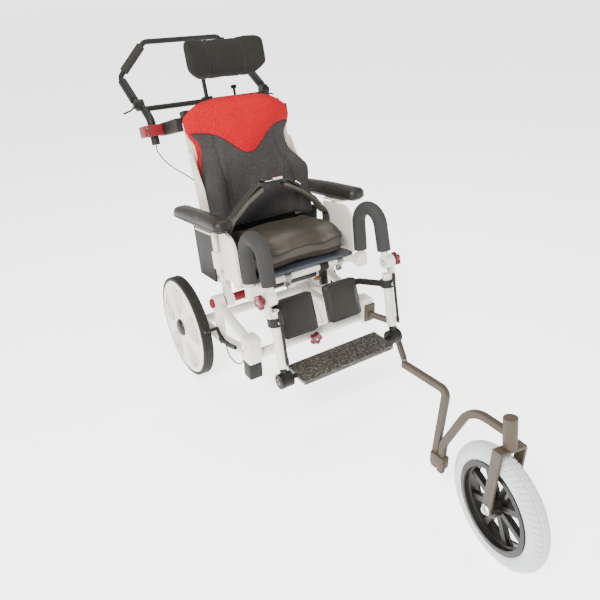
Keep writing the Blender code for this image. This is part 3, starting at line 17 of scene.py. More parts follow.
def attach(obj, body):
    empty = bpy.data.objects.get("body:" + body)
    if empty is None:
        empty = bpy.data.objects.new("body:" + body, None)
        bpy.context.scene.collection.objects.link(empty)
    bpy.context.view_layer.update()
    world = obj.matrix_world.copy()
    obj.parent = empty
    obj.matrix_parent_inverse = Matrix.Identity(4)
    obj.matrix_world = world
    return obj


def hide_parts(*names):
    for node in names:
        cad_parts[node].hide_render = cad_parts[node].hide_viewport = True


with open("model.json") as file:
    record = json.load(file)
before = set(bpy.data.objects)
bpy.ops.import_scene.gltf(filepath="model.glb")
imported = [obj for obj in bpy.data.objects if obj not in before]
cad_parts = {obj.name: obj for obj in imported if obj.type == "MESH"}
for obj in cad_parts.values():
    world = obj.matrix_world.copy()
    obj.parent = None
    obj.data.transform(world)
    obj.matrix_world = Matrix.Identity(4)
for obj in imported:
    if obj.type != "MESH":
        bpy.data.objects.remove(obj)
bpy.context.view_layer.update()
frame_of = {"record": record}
RECORD = frame_of["record"]
BODY_OF = {node: body for body, nodes in RECORD["behaviour"]["bodies"].items() for node in nodes}

# Camera, fitted to the photograph's wheels and to mirrored pairs of points on the frame
CAMERA_TURN = [radians(angle) for angle in (-32.04, 27.8, -2.13)]   # azimuth, elevation, roll
CAMERA_PLACE = (-0.747, -1.478, 1.031)
CAMERA_FOCAL = 586 / 600                    # of the picture's width
SENSOR_WIDTH = 36                           # millimetres

# Studio
FLOOR_GLOW = 2.4
FLOOR_REACH = 80
FLOOR_DEPTH = 0.001       # below the wheels
WORLD_STRENGTH = 0.34     # overhead
HORIZON_STRENGTH = 1.6
HORIZON_END, OVERHEAD_START = 0.10, 0.50   # by the upward part of a line of sight
SKY_LIFT = 1.4            # added for the camera alone, so that the sky meets the floor in one tone
LAMPS_AIM = (0, -0.1, 0.4)
WARM, NEUTRAL = (1.0, 0.955, 0.885), (1.0, 1.0, 1.0)
LAMPS = [("key", (-2.1, -1.7, 2.7), 1.1, 270, WARM), ("fill", (2.4, -1.6, 1.8), 2.2, 22, NEUTRAL),
         ("top", (0.3, 0.6, 3.2), 2.0, 70, NEUTRAL)]      # place, size, watts and colour

# Shading of edges, and weaves
SHARP_ANGLE = radians(33)        # between faces that are shaded apart
SOFT_SHARP_ANGLE = radians(80)   # the same on filled pieces
BEVEL_ANGLE = radians(40)        # between faces whose shared edge is rounded
WAVES_PER_SCALE = 3.1831         # of Blender's wave texture, to a metre at scale 1
WEAVE_PITCH = 0.0016

# How round the round pieces are
FACETS = 28
FINE_FACETS = 40
WHEEL_FACETS = 96
SOFT_STEPS = 4
THIN_STRIP = 0.0105    # bars thinner than this keep square edges
BEND_STEP = radians(6)  # of the arcs in a rounded route
ARC_STEPS = 24
PETAL_FACETS = 64
TYRE_ARC = 44          # steps across the front tyre's section
TREAD_BLOCKS = 64      # of the front tyre, round its circumference
TREAD_DEPTH = 0.0030

# Clearances
GAP = 0.0003           # between pieces that touch
RUN = 0.0005           # radial clearance of a turning or sliding piece

# Wheels
REAR_RADIUS = 0.1525
REAR_TYRE_WIDTH = 0.030
REAR_TYRE_DEPTH = 0.010
TRACK = 0.450          # between the rear wheels' middle planes
FRONT_RADIUS = 0.1285
FRONT_TYRE_WIDTH = 0.043
FRONT_TYRE_DEPTH = 0.034
FRONT_SPOKES = 8
WHEELBASE = 0.979
AXLE_RADIUS = 0.006

# Base frame
FRAME_WIDTH = 0.364    # between the side tubes' middle planes
TUBE_RADIUS = 0.013
PIVOT_FORWARD = 0.150  # seat tilt pivot, ahead of the rear axle
PIVOT_HEIGHT = 0.283
PIVOT_TUBE_RADIUS = 0.0125
PIVOT_TUBE_OVERHANG = 0.008
FOOT_TUBE_HEIGHT = 0.168
LUG_FORWARD = 0.333
LUG_WIDTH = 0.040
LUG_DEPTH = 0.046
LUG_BOTTOM = 0.190
LUG_TOP = 0.262
CROSS_TUBE_HEIGHT = 0.2035
RECEIVER_SIZE = 0.036
RECEIVER_BORE = 0.022
RECEIVER_LENGTH = 0.046

# Front wheel arm
ARM_SIZE = 0.016
ARM_WIDTH = 0.012
ARM_OUTBOARD = 0.2165
ARM_DROP_FORWARD = 0.8135
ARM_DROP_LEAN = 0.012   # how much further forward its upper end stands
ARM_STUB_GAP = 0.0018
ARM_FRONT_HEIGHT = 0.312
ARM_LOW_END = 0.106
CLAMP_WALL = 0.0038
CLAMP_HEIGHT = 0.030
HEAD_TUBE_RADIUS = 0.0135
HEAD_TUBE_LENGTH = 0.062
HEAD_FORWARD = 0.982
HEAD_HEIGHT = 0.315
HEAD_RAKE = radians(8)
FORK_STEER = radians(-11)
FORK_CLEARANCE = 0.0035  # between the tyre and each leg
FORK_LEG_THICKNESS = 0.005
FORK_LEG_DEPTH = 0.024
STEERER_RADIUS = 0.007

# Seat, measured square to the seat and from the tilt pivot
SEAT_TILT = radians(7)
RAIL_SPREAD = 0.300
RAIL_RADIUS = 0.011
RAIL_LIFT = 0.080
RAIL_FRONT = 0.214
RAIL_REAR = 0.016
PAN_THICKNESS = 0.010
SEAT_WIDTH = 0.304
SEAT_FRONT = 0.185
SEAT_REAR = 0.034
SEAT_THICKNESS = 0.078
GUARD_THICKNESS = 0.008
GUARD_INSIDE = 0.1735
GUARD_FRONT = 0.156
GUARD_REAR = 0.026
GUARD_TOP = 0.214
ARM_PAD_LENGTH = 0.290
ARM_PAD_WIDTH = 0.060
ARM_PAD_THICKNESS = 0.040
ARM_PAD_FRONT = 0.168
ARM_PAD_TOP = 0.262
ARM_PAD_SPREAD = 0.400
ARM_POST_WIDTH = 0.022
ARM_POST_THICKNESS = 0.006
ARM_POST_BACK = 0.060  # post's middle, ahead of the pivot

# Back, measured along the posts and from the recline pivot
BACK_PIVOT_BACK = 0.074
BACK_PIVOT_LIFT = 0.054
BACK_RECLINE = radians(7)
SIDE_PLATE_X = 0.1635
POST_SPREAD = 0.264
POST_RADIUS = 0.0125
POST_LENGTH = 0.446
SHELL_THICKNESS = 0.005
SHELL_BOTTOM = 0.125
SHELL_TOP = 0.416
CUSHION_BOTTOM = 0.120
CUSHION_TOP = 0.478
SEAM_DIP = 0.313
SEAM_SIDES = 0.384
CUSHION_WIDTH = 0.304
CUSHION_FLARE = 0.014   # how far each shoulder of the cushion reaches past its width

# Push bar
PUSH_SPREAD = 0.400
PUSH_TUBE_RADIUS = 0.0115
PUSH_BACK = 0.114
PUSH_LOW_END = 0.375
CLAMP_CENTRE = 0.413
CLAMP_BLOCK_HEIGHT = 0.030
HINGE_BACK = 0.162
HINGE_LIFT = 0.488
HINGE_RADIUS = 0.016
HINGE_EAR = 0.010      # thickness of each half of a hinge
HANDLE_CORNER_BACK = 0.2657
HANDLE_CORNER_LIFT = 0.5794
HANDLE_TOP_SPREAD = 0.236
HANDLE_TOP_BACK = 0.2491
HANDLE_TOP_LIFT = 0.6669
HANDLE_RADIUS = 0.0075
GRIP_RADIUS = 0.0125

# Headrest
HEAD_PAD_WIDTH = 0.238
HEAD_PAD_HEIGHT = 0.114
HEAD_PAD_THICKNESS = 0.046
HEAD_PAD_BACK = 0.004
HEAD_PAD_LIFT = 0.568
STEM_RADIUS = 0.006

# Leg rests, measured from their pivot
HANGER_SPREAD = 0.340
HANGER_REAR = 0.1945
HANGER_BEND = 0.045
HANGER_STRAIGHT_TOP = 0.178
HANGER_LEAN = 0.012   # how far the front leg of the hanger slopes forward
HANGER_RADIUS = 0.0095
HANGER_PAD_RADIUS = 0.0175
LEG_PIVOT_LIFT = 0.0905
LEG_ANGLE = radians(4.5)
LEG_TUBE_RADIUS = 0.0125
LEG_TUBE_TOP = 0.030
LEG_TUBE_BOTTOM = 0.174
LEG_INNER_RADIUS = 0.009
LEG_INNER_TOP = 0.078
FOOT_BAR_DROP = 0.207
FOOT_BAR_RADIUS = 0.006
KNUCKLE_RADIUS = 0.0185
LEG_DISC_RADIUS = 0.017
FOOTPLATE_WIDTH = 0.276
FOOTPLATE_FRONT = 0.040
FOOTPLATE_REAR = 0.040
FOOTPLATE_THICKNESS = 0.018
CALF_PAD_SIZE = 0.104
CALF_PAD_THICKNESS = 0.030
CALF_PAD_BACK = 0.0566  # pad's front face behind the leg tubes
CALF_PAD_DROP = 0.090
CALF_PAD_SPREAD = 0.140
CALF_PAD_LEAN = radians(8)
COLLAR_DROP = 0.056
COLLAR_RADIUS = 0.019

# Cables
CABLE_RADIUS = 0.0016
CABLE_STEPS = 12       # between two of the places that a cable passes

# Stitches
STITCH_LENGTH = 0.0032
STITCH_RADIUS = 0.00045
STITCH_PITCH = 0.0055

# Derived places
FRAME_X = FRAME_WIDTH / 2
WHEEL_X = TRACK / 2
PIVOT_Y = -PIVOT_FORWARD
LUG_Y = -LUG_FORWARD
ARM_STUB_Y = -ARM_DROP_FORWARD - ARM_SIZE - ARM_STUB_GAP
RAIL_X = RAIL_SPREAD / 2
POST_X = POST_SPREAD / 2
PUSH_X = PUSH_SPREAD / 2
HANGER_FRONT = HANGER_REAR + 2 * HANGER_BEND + HANGER_LEAN
LEG_X = HANGER_SPREAD / 2
PAN_BOTTOM = RAIL_LIFT + RAIL_RADIUS + GAP
PAN_TOP = PAN_BOTTOM + PAN_THICKNESS
SEAT_BOTTOM = PAN_TOP + GAP
SHELL_BACK_FACE = -POST_RADIUS - GAP
SHELL_FRONT_FACE = SHELL_BACK_FACE - SHELL_THICKNESS
CUSHION_BACK_FACE = SHELL_FRONT_FACE - GAP
INTO_LUG = LUG_Y + LUG_DEPTH / 4                     # where tubes end inside the lug
FOOT_TUBE_END = LUG_BOTTOM + TUBE_RADIUS + 0.004     # height of the foot tube there
FRONT_BAR_Y, REAR_BAR_Y = -SEAT_FRONT + 0.016, -0.100   # cross bars under the seat pan
CROSS_BAR_RADIUS = RAIL_RADIUS - 0.001
SHELF_TOP = RAIL_LIFT + 0.006                        # carries the side guards and the belt
CLAMP_INSIDE = PUSH_X - 0.0285                       # face of the back frame's clamp arm
LEG_DISC_X = LEG_X + HANGER_RADIUS + 0.0006          # where hanger and leg tube meet
RIB_ROOT = SHELL_BACK_FACE - 0.001                   # flanges and ribs start in the shell
SIDES = {"left": 1, "right": -1}

axle_joint = next(j for j in RECORD["behaviour"]["joints"] if j["name"] == "rear_wheel_left_spin")
PLACE = Matrix.Translation(Vector(axle_joint["pos_m"]) - Vector((WHEEL_X, 0, REAR_RADIUS)))


def object_from(mesh, name="piece"):
    made = bpy.data.objects.new(name, mesh)
    bpy.context.scene.collection.objects.link(made)
    return made


def turn_faces_out(bm):
    bmesh.ops.recalc_face_normals(bm, faces=bm.faces)
    if bm.calc_volume(signed=True) < 0:
        bmesh.ops.reverse_faces(bm, faces=bm.faces)


def object_from_bmesh(bm, name="piece"):
    turn_faces_out(bm)
    mesh = bpy.data.meshes.new(name)
    bm.to_mesh(mesh)
    bm.free()
    return object_from(mesh, name)


def lofted(loops, closed=False):
    """A skin over loops of places; its ends are filled unless the last loop joins the first."""
    bm = bmesh.new()
    rings = [[bm.verts.new(place) for place in loop] for loop in loops]
    for ring, following in zip(rings, rings[1:] + (rings[:1] if closed else [])):
        for k in range(len(ring)):
            bm.faces.new([ring[k - 1], ring[k], following[k], following[k - 1]])
    if not closed:
        bm.faces.new(rings[0])
        bm.faces.new(rings[-1])
    return object_from_bmesh(bm)


def slab(outline, shift):
    """A flat outline of places, made solid along a shift."""
    bm = bmesh.new()
    face = bm.faces.new([bm.verts.new(place) for place in outline])
    grown = bmesh.ops.extrude_face_region(bm, geom=[face])
    new = [g for g in grown["geom"] if isinstance(g, bmesh.types.BMVert)]
    bmesh.ops.translate(bm, vec=shift, verts=new)
    return object_from_bmesh(bm)


def baked(source):
    """The evaluated mesh of an object as a new plain mesh object; the source is removed."""
    graph = bpy.context.evaluated_depsgraph_get()
    mesh = bpy.data.meshes.new_from_object(source.evaluated_get(graph))
    bpy.data.objects.remove(source, do_unlink=True)
    return object_from(mesh)


def modify(piece, kind, **settings):
    """Add a modifier with these settings."""
    step = piece.modifiers.new(kind.lower(), kind)
    for key, value in settings.items():
        setattr(step, key, value)


def boolean(body, tools, operation, solver="EXACT"):
    for tool in tools:
        modify(body, "BOOLEAN", operation=operation, solver=solver, object=tool)
    result = baked(body)
    for tool in tools:
        bpy.data.objects.remove(tool, do_unlink=True)
    return result


def union(body, *tools):
    return boolean(body, tools, "UNION")


def cut(body, *tools):
    return boolean(body, tools, "DIFFERENCE")


def finish(piece, name, surface, frame=PLACE, edge=0.0005):
    """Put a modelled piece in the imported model's place, in the stead of the node of that name."""
    settle(piece, name + "_look", surface, BODY_OF[name], frame, edge)
    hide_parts(name)
    return piece


def settle(piece, name, surface, body, frame=PLACE, edge=0.0):
    """Place, shade and name a piece and let it ride on a body."""
    piece.data.transform(frame)
    piece.name = name
    piece.data.name = name
    piece.data.materials.clear()
    piece.data.materials.append(PAINT[surface])
    piece.data.shade_smooth()
    piece.data.set_sharp_from_angle(angle=SHARP_ANGLE)
    if edge:
        modify(piece, "BEVEL", width=edge, segments=2, limit_method="ANGLE",
               angle_limit=BEVEL_ANGLE, use_clamp_overlap=True, harden_normals=True)
    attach(piece, body)
    return piece


def detail(piece, name, surface, node, frame=PLACE, edge=0.0):
    """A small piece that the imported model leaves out; it rides with the node it is fixed to."""
    settle(piece, name, surface, BODY_OF[node], frame, edge)
    return piece


def frame_at(location, tilt, parent=PLACE):
    """The place of an assembly; tilt turns it about the chair's cross axis."""
    return parent @ Matrix.Translation(location) @ Matrix.Rotation(-tilt, 4, "X")


def standing(centre, axis):
    """The place at a centre where +Z points along the axis."""
    return Matrix.Translation(centre) @ Vector(axis).to_track_quat("Z", "Y").to_matrix().to_4x4()


def box(corner, opposite, bevel=0.0):
    """A block between two opposite corners."""
    spans = list(zip(corner, opposite))
    bm = bmesh.new()
    bmesh.ops.create_cube(bm, size=1)
    bmesh.ops.scale(bm, vec=[max(s) - min(s) for s in spans], verts=bm.verts)
    if bevel:
        bmesh.ops.bevel(bm, geom=bm.edges[:], offset=bevel, segments=3, profile=0.5, affect="EDGES",
                        clamp_overlap=True)
    bmesh.ops.translate(bm, vec=[(max(s) + min(s)) / 2 for s in spans], verts=bm.verts)
    return object_from_bmesh(bm)


def cylinder(start, end, radius, sides=FACETS, end_radius=None):
    """A round bar from start to end, tapered where it has another radius at its end."""
    start, end = Vector(start), Vector(end)
    bm = bmesh.new()
    far = radius if end_radius is None else end_radius
    bmesh.ops.create_cone(bm, cap_ends=True, segments=sides, radius1=radius, radius2=far,
                          depth=(end - start).length)
    bmesh.ops.transform(bm, matrix=standing((start + end) / 2, end - start), verts=bm.verts)
    return object_from_bmesh(bm)


def across(x0, x1, y, z, radius, sides=FACETS):
    """A cylinder along the chair's cross axis."""
    return cylinder((min(x0, x1), y, z), (max(x0, x1), y, z), radius, sides)


def bent(corners, radius):
    """The corners' route with each inner corner rounded by an arc."""
    corners = [Vector(c) for c in corners]
    route = [corners[0]]
    for before, corner, after in zip(corners, corners[1:], corners[2:]):
        to_before = (before - corner).normalized()
        to_after = (after - corner).normalized()
        angle = to_before.angle(to_after)
        reach = min(radius / tan(angle / 2), 0.45 * (before - corner).length,
                    0.45 * (after - corner).length)
        used = reach * tan(angle / 2)
        centre = corner + (to_before + to_after).normalized() * (used / sin(angle / 2))
        first = corner + to_before * reach - centre
        last = corner + to_after * reach - centre
        turn = first.angle(last)
        count = max(2, round(turn / BEND_STEP))
        for k in range(count + 1):
            part = k / count
            blend = (sin((1 - part) * turn) * first + sin(part * turn) * last)
            route.append(centre + blend / sin(turn))
    route.append(corners[-1])
    return route


def rod(corners, radius, bend=0.0, resolution=3):
    """A round bar along a route, as a bevelled curve with its ends filled."""
    route = bent(corners, bend) if bend else [Vector(c) for c in corners]
    curve = bpy.data.curves.new("route", "CURVE")
    curve.dimensions = "3D"
    curve.use_fill_caps = True
    curve.twist_mode = "MINIMUM"
    curve.bevel_depth = radius
    curve.bevel_resolution = 3 * resolution
    spline = curve.splines.new("POLY")
    spline.points.add(len(route) - 1)
    for point, place in zip(spline.points, route):
        point.co = (*place, 1)
    piece = baked(object_from(curve))
    bm = bmesh.new()
    bm.from_mesh(piece.data)
    bmesh.ops.remove_doubles(bm, verts=bm.verts, dist=0.00001)
    turn_faces_out(bm)
    bm.to_mesh(piece.data)
    bm.free()
    return piece


def flat_section(width, height):
    """Corners of a rectangle, with small chamfers unless it is a thin strip."""
    half_w, half_h = width / 2, height / 2
    if min(width, height) < THIN_STRIP:
        return [(half_w, half_h), (-half_w, half_h), (-half_w, -half_h), (half_w, -half_h)]
    chamfer = 0.12 * min(width, height)
    corners = []
    for sx, sy in ((1, 1), (-1, 1), (-1, -1), (1, -1)):
        first = (sx * half_w, sy * (half_h - chamfer))
        second = (sx * (half_w - chamfer), sy * half_h)
        corners += [first, second] if sx * sy > 0 else [second, first]
    return corners


def bar(corners, width, height, bend=0.0, width_along=(1, 0, 0), level=False):
    """A rectangular bar along a route, mitred at its turns; level keeps its width flat."""
    route = bent(corners, bend) if bend else [Vector(c) for c in corners]
    legs = [(b - a).normalized() for a, b in zip(route, route[1:])]
    across_way = Vector(width_along)
    rings = []
    for k, place in enumerate(route):
        leg = legs[max(k - 1, 0)]
        after = legs[min(k, len(legs) - 1)]
        if level and abs(leg.z) < 0.98:
            flat = leg.cross(Vector((0, 0, 1)))
            across_way = flat if flat.dot(across_way) > 0 else -flat
        across_way = (across_way - leg * across_way.dot(leg)).normalized()
        up_way = leg.cross(across_way)
        normal = (leg + after).normalized()
        offsets = [across_way * u + up_way * v for u, v in flat_section(width, height)]
        rings.append([place + o - leg * (o.dot(normal) / leg.dot(normal)) for o in offsets])
        across_way = leg.rotation_difference(after) @ across_way
    return lofted(rings)


def turned(profile, steps=FINE_FACETS):
    """A closed profile of (radius, x) points, turned about the cross axis."""
    bm = bmesh.new()
    verts = [bm.verts.new((x, r, 0)) for r, x in profile]
    sides = zip(verts, verts[1:] + verts[:1])
    edges = [bm.edges.new((a, b)) for a, b in sides if a.co.y > 0 or b.co.y > 0]
    bmesh.ops.spin(bm, geom=verts + edges, cent=(0, 0, 0), axis=(1, 0, 0), angle=2 * pi,
                   steps=steps, use_merge=True)
    bmesh.ops.remove_doubles(bm, verts=bm.verts, dist=0.00001)
    return object_from_bmesh(bm)


def moved(piece, offset):
    piece.data.transform(Matrix.Translation(offset))
    return piece


def turned_by(piece, angle, axis, centre):
    """Turn a piece about a centre."""
    there = Matrix.Translation(centre)
    back = Matrix.Translation(-Vector(centre))
    piece.data.transform(there @ Matrix.Rotation(angle, 4, axis) @ back)
    return piece


def extruded(outline, x0, x1):
    """A plate between two cross positions, from an outline of (y, z) points."""
    return slab([(x0, y, z) for y, z in outline], (x1 - x0, 0, 0))


def arc(centre, radius, start, end):
    """Points of (y, z) on an arc, angles in degrees from +Y towards +Z."""
    angles = [radians(start + (end - start) * k / ARC_STEPS) for k in range(ARC_STEPS + 1)]
    return [(centre[0] + radius * cos(a), centre[1] + radius * sin(a)) for a in angles]


def soft_block(counts, shape):
    """A closed skin of a cube's grid; shape maps its (u, v, w), each from -1 to 1, to a place."""
    nx, ny, nz = (SOFT_STEPS * c for c in counts)
    bm = bmesh.new()
    made = {}

    def vert(i, j, k):
        if (i, j, k) not in made:
            spot = (2 * i / nx - 1, 2 * j / ny - 1, 2 * k / nz - 1)
            made[(i, j, k)] = bm.verts.new(shape(*spot))
        return made[(i, j, k)]

    def quad(*corners):
        bm.faces.new([vert(*c) for c in corners])

    for i, j, k in product(range(nx), range(ny), (0, nz)):
        quad((i, j, k), (i + 1, j, k), (i + 1, j + 1, k), (i, j + 1, k))
    for i, k, j in product(range(nx), range(nz), (0, ny)):
        quad((i, j, k), (i + 1, j, k), (i + 1, j, k + 1), (i, j, k + 1))
    for j, k, i in product(range(ny), range(nz), (0, nx)):
        quad((i, j, k), (i, j + 1, k), (i, j + 1, k + 1), (i, j, k + 1))
    return object_from_bmesh(bm)


def smooth(t):
    """Rise from 0 to 1 without a kink at either end."""
    t = min(1.0, max(0.0, t))
    return t * t * (3 - 2 * t)


def squared(angle, along, sideways):
    """Cosine and sine of an angle, each raised to a power, so that a round section turns boxy."""
    return (copysign(abs(cos(angle)) ** along, cos(angle)),
            copysign(abs(sin(angle)) ** sideways, sin(angle)))


def rounded(u, v, w, half, radius):
    """A point of the unit cube carried to a box of the given half sizes with round edges."""
    spread = [sin(pi / 2 * c) if abs(c) < 1 else c for c in (u, v, w)]
    place = [s * h for s, h in zip(spread, half)]
    inner = [max(-(h - radius), min(h - radius, p)) for p, h in zip(place, half)]
    out = Vector([p - q for p, q in zip(place, inner)])
    if out.length > 1e-9:
        out = out.normalized() * radius
    return Vector(inner) + out


# Materials


class Shade:
    """A material under construction: its node tree, its shader and its object coordinates."""

    def __init__(self, name, colour, roughness, metallic=0.0, sheen=0.0, coat=0.0, gloss=0.5):
        self.made = bpy.data.materials.new(name)
        self.made.use_nodes = True
        self.tree = self.made.node_tree
        self.shader = self.tree.nodes["Principled BSDF"]
        self.roughness = roughness
        for key, value in (("Base Color", (*colour, 1)), ("Roughness", roughness),
                           ("Metallic", metallic), ("Sheen Weight", sheen),
                           ("Sheen Roughness", 0.4), ("Coat Weight", coat),
                           ("Specular IOR Level", gloss)):
            self.shader.inputs[key].default_value = value
        self.place = self.node("ShaderNodeTexCoord").outputs["Object"]
        self.bump_from = None

    def node(self, kind, **values):
        made = self.tree.nodes.new(kind)
        for key, value in values.items():
            if key in made.inputs:
                made.inputs[key].default_value = value
            else:
                setattr(made, key, value)
        return made

    def link(self, a, b):
        self.tree.links.new(a, b)

    def noise(self, scale, detail=2.0, stretch=None):
        made = self.node("ShaderNodeTexNoise", Scale=scale, Detail=detail)
        place = self.place
        if stretch is not None:
            scaled = self.node("ShaderNodeMapping", Scale=stretch)
            self.link(place, scaled.inputs["Vector"])
            place = scaled.outputs["Vector"]
        self.link(place, made.inputs["Vector"])
        return made.outputs["Fac"]

    def cells(self, scale):
        made = self.node("ShaderNodeTexVoronoi", Scale=scale, Randomness=1.0)
        self.link(self.place, made.inputs["Vector"])
        return made.outputs["Distance"]

    def waves(self, pitch, axis):
        """Sine ridges of that pitch in metres along an axis, from 0 to 1."""
        made = self.node("ShaderNodeTexWave", Scale=1 / pitch / WAVES_PER_SCALE, Distortion=0.0)
        made.bands_direction = axis
        made.wave_profile = "SIN"
        self.link(self.place, made.inputs["Vector"])
        return made.outputs["Fac"]

    def remap(self, value, low, high, start=0.0, end=1.0):
        made = self.node("ShaderNodeMapRange",
                         **{"From Min": start, "From Max": end, "To Min": low, "To Max": high})
        self.link(value, made.inputs["Value"])
        return made.outputs["Result"]

    def combine(self, a, b, how="MULTIPLY"):
        made = self.node("ShaderNodeMath", operation=how)
        self.link(a, made.inputs[0])
        if isinstance(b, (int, float)):
            made.inputs[1].default_value = b
        else:
            self.link(b, made.inputs[1])
        return made.outputs[0]

    def tint(self, value, low, high):
        """Colour between two tones as value goes from 0 to 1."""
        ramp = self.node("ShaderNodeValToRGB")
        ramp.color_ramp.elements[0].color = (*low, 1)
        ramp.color_ramp.elements[1].color = (*high, 1)
        self.link(value, ramp.inputs["Fac"])
        self.link(ramp.outputs["Color"], self.shader.inputs["Base Color"])

    def rough(self, value, spread):
        self.link(self.remap(value, self.roughness - spread, self.roughness + spread),
                  self.shader.inputs["Roughness"])

    def bump(self, value, distance, strength=1.0):
        made = self.node("ShaderNodeBump", Distance=distance, Strength=strength)
        self.link(value, made.inputs["Height"])
        if self.bump_from is not None:
            self.link(self.bump_from, made.inputs["Normal"])
        self.bump_from = made.outputs["Normal"]
        self.link(self.bump_from, self.shader.inputs["Normal"])


def shade_of(colour, factor):
    return tuple(min(1.0, c * factor) for c in colour)


def painted(name, colour, roughness, wear=1.12, coat=0.0, gloss=0.4):
    """Powder coat: a fine orange peel, a slow change of tone, and lighter rubbed edges."""
    s = Shade(name, colour, roughness, coat=coat, gloss=gloss)
    slow = s.noise(9, 3.0)
    edges = s.remap(s.node("ShaderNodeNewGeometry").outputs["Pointiness"], 0.0, 1.0, 0.50, 0.58)
    tone = s.combine(s.remap(slow, 0.15, 0.75), s.combine(edges, 0.5), "ADD")
    s.tint(tone, shade_of(colour, 0.93), shade_of(colour, wear))
    s.rough(s.noise(40), 0.06)
    s.bump(s.noise(650), 0.00006)
    return s.made


def knitted(name, colour, light, pitch=0.0030):
    """Spacer knit: small cells whose holes are painted darker as shade, a soft sheen, slow fading
    and rubbed patches.
    """
    s = Shade(name, colour, 0.80, sheen=0.03, gloss=0.10)
    cells = s.cells(1 / pitch)
    ridge_height_and_shade = s.remap(cells, 0.05, 1.0, 0.26, 0.50)
    patches = s.remap(s.noise(9, 3.0), 0.55, 1.25, 0.2, 0.8)
    fuzz = s.remap(s.noise(420, 3.0), 0.75, 1.2, 0.2, 0.8)
    # the cells' holes are painted darker than their ridges: painted shade
    s.tint(s.combine(s.combine(ridge_height_and_shade, patches), fuzz), shade_of(colour, 0.62), light)
    s.rough(s.noise(60), 0.07)
    s.bump(ridge_height_and_shade, 0.00022, 0.6)
    s.bump(s.noise(1600), 0.00006)
    s.bump(s.noise(16), 0.0007)
    return s.made


def leather(name, colour, light, roughness=0.45, pitch=0.0013):
    """Coated cloth: fine pebble grain, soft creases and patches polished by use."""
    s = Shade(name, colour, roughness, sheen=0.01, gloss=0.26)
    cells = s.cells(1 / pitch)
    patches = s.noise(8, 3.0)
    s.tint(s.combine(s.remap(cells, 0.55, 1.0), s.remap(patches, 0.35, 1.2, 0.25, 0.75)), colour,
           light)
    s.rough(s.noise(22, 3.0), 0.09)
    s.bump(cells, 0.00010, 0.6)
    s.bump(s.noise(26, 3.0), 0.0006)
    return s.made


def foam(name, colour, light):
    """Dull foam with fine pores and shallow dents."""
    s = Shade(name, colour, 0.78, sheen=0.03, gloss=0.12)
    fine = s.noise(1100, 3.0)
    s.tint(s.combine(s.remap(fine, 0.4, 1.0), s.remap(s.noise(16), 0.6, 1.2)), colour, light)
    s.bump(fine, 0.00025)
    s.bump(s.noise(60), 0.0006)
    return s.made


def woven(name, colour, light):
    """Belt webbing: ribs along the strap with a cross weave."""
    s = Shade(name, colour, 0.7, sheen=0.05, gloss=0.2)
    weave = s.combine(s.waves(WEAVE_PITCH, "Y"),
                      s.combine(s.waves(WEAVE_PITCH, "X"), s.waves(WEAVE_PITCH, "Z"), "MAXIMUM"))
    s.tint(s.combine(weave, s.remap(s.noise(30), 0.6, 1.2)), colour, light)
    s.rough(s.noise(90), 0.08)
    s.bump(weave, 0.0004)
    return s.made


def moulded(name, colour, roughness, coat=0.0, gloss=0.35):
    """Moulded plastic or cast metal with a faint grain and scuffed roughness."""
    s = Shade(name, colour, roughness, coat=coat, gloss=gloss)
    s.tint(s.remap(s.noise(12, 3.0), 0.1, 0.9), shade_of(colour, 0.88), shade_of(colour, 1.12))
    s.rough(s.noise(55, 4.0), 0.09)
    s.bump(s.noise(900, 3.0), 0.00005)
    return s.made


def rubber(name, colour, light, roughness=0.75):
    """Tyre rubber with a fine grain and greyed patches."""
    s = Shade(name, colour, roughness, sheen=0.02, gloss=0.2)
    s.tint(s.combine(s.noise(25, 4.0), s.remap(s.noise(300, 3.0), 0.5, 1.3)), colour, light)
    s.rough(s.noise(70, 3.0), 0.08)
    s.bump(s.noise(1400, 3.0), 0.0001)
    return s.made


def gritty(name, colour, light):
    """Anti-slip moulding: coarse grains whose hollows are painted darker as shade, lighter
    speckles on their tops painted as glints, and patchy wet-looking gloss.
    """
    s = Shade(name, colour, 0.38, coat=0.06, gloss=0.35)
    grains = s.cells(210)
    painted_glint_speckle = s.noise(150, 4.0)
    # lighter speckles on the grains' tops are painted glints, and their hollows painted shade
    s.tint(s.combine(s.remap(painted_glint_speckle, 0.0, 1.0, 0.46, 0.72), s.remap(grains, 0.4, 1.0, 0.1, 0.7)),
           colour, light)
    s.rough(s.noise(180, 3.0), 0.20)
    s.bump(grains, 0.0010)
    s.bump(s.noise(700), 0.0002)
    return s.made


def polished(name, colour, roughness=0.22):
    """Bare or plated metal with fine draw marks."""
    s = Shade(name, colour, roughness, 1.0)
    s.tint(s.noise(30, 3.0), shade_of(colour, 0.85), colour)
    s.rough(s.noise(240, 3.0, stretch=(1, 1, 12)), 0.08)
    s.bump(s.noise(800), 0.00002)
    return s.made


def sewing(name, colour):
    """Twisted thread."""
    s = Shade(name, colour, 0.7, sheen=0.2)
    s.tint(s.noise(900), shade_of(colour, 0.7), shade_of(colour, 1.3))
    s.bump(s.waves(0.0012, "DIAGONAL"), 0.0002)
    return s.made


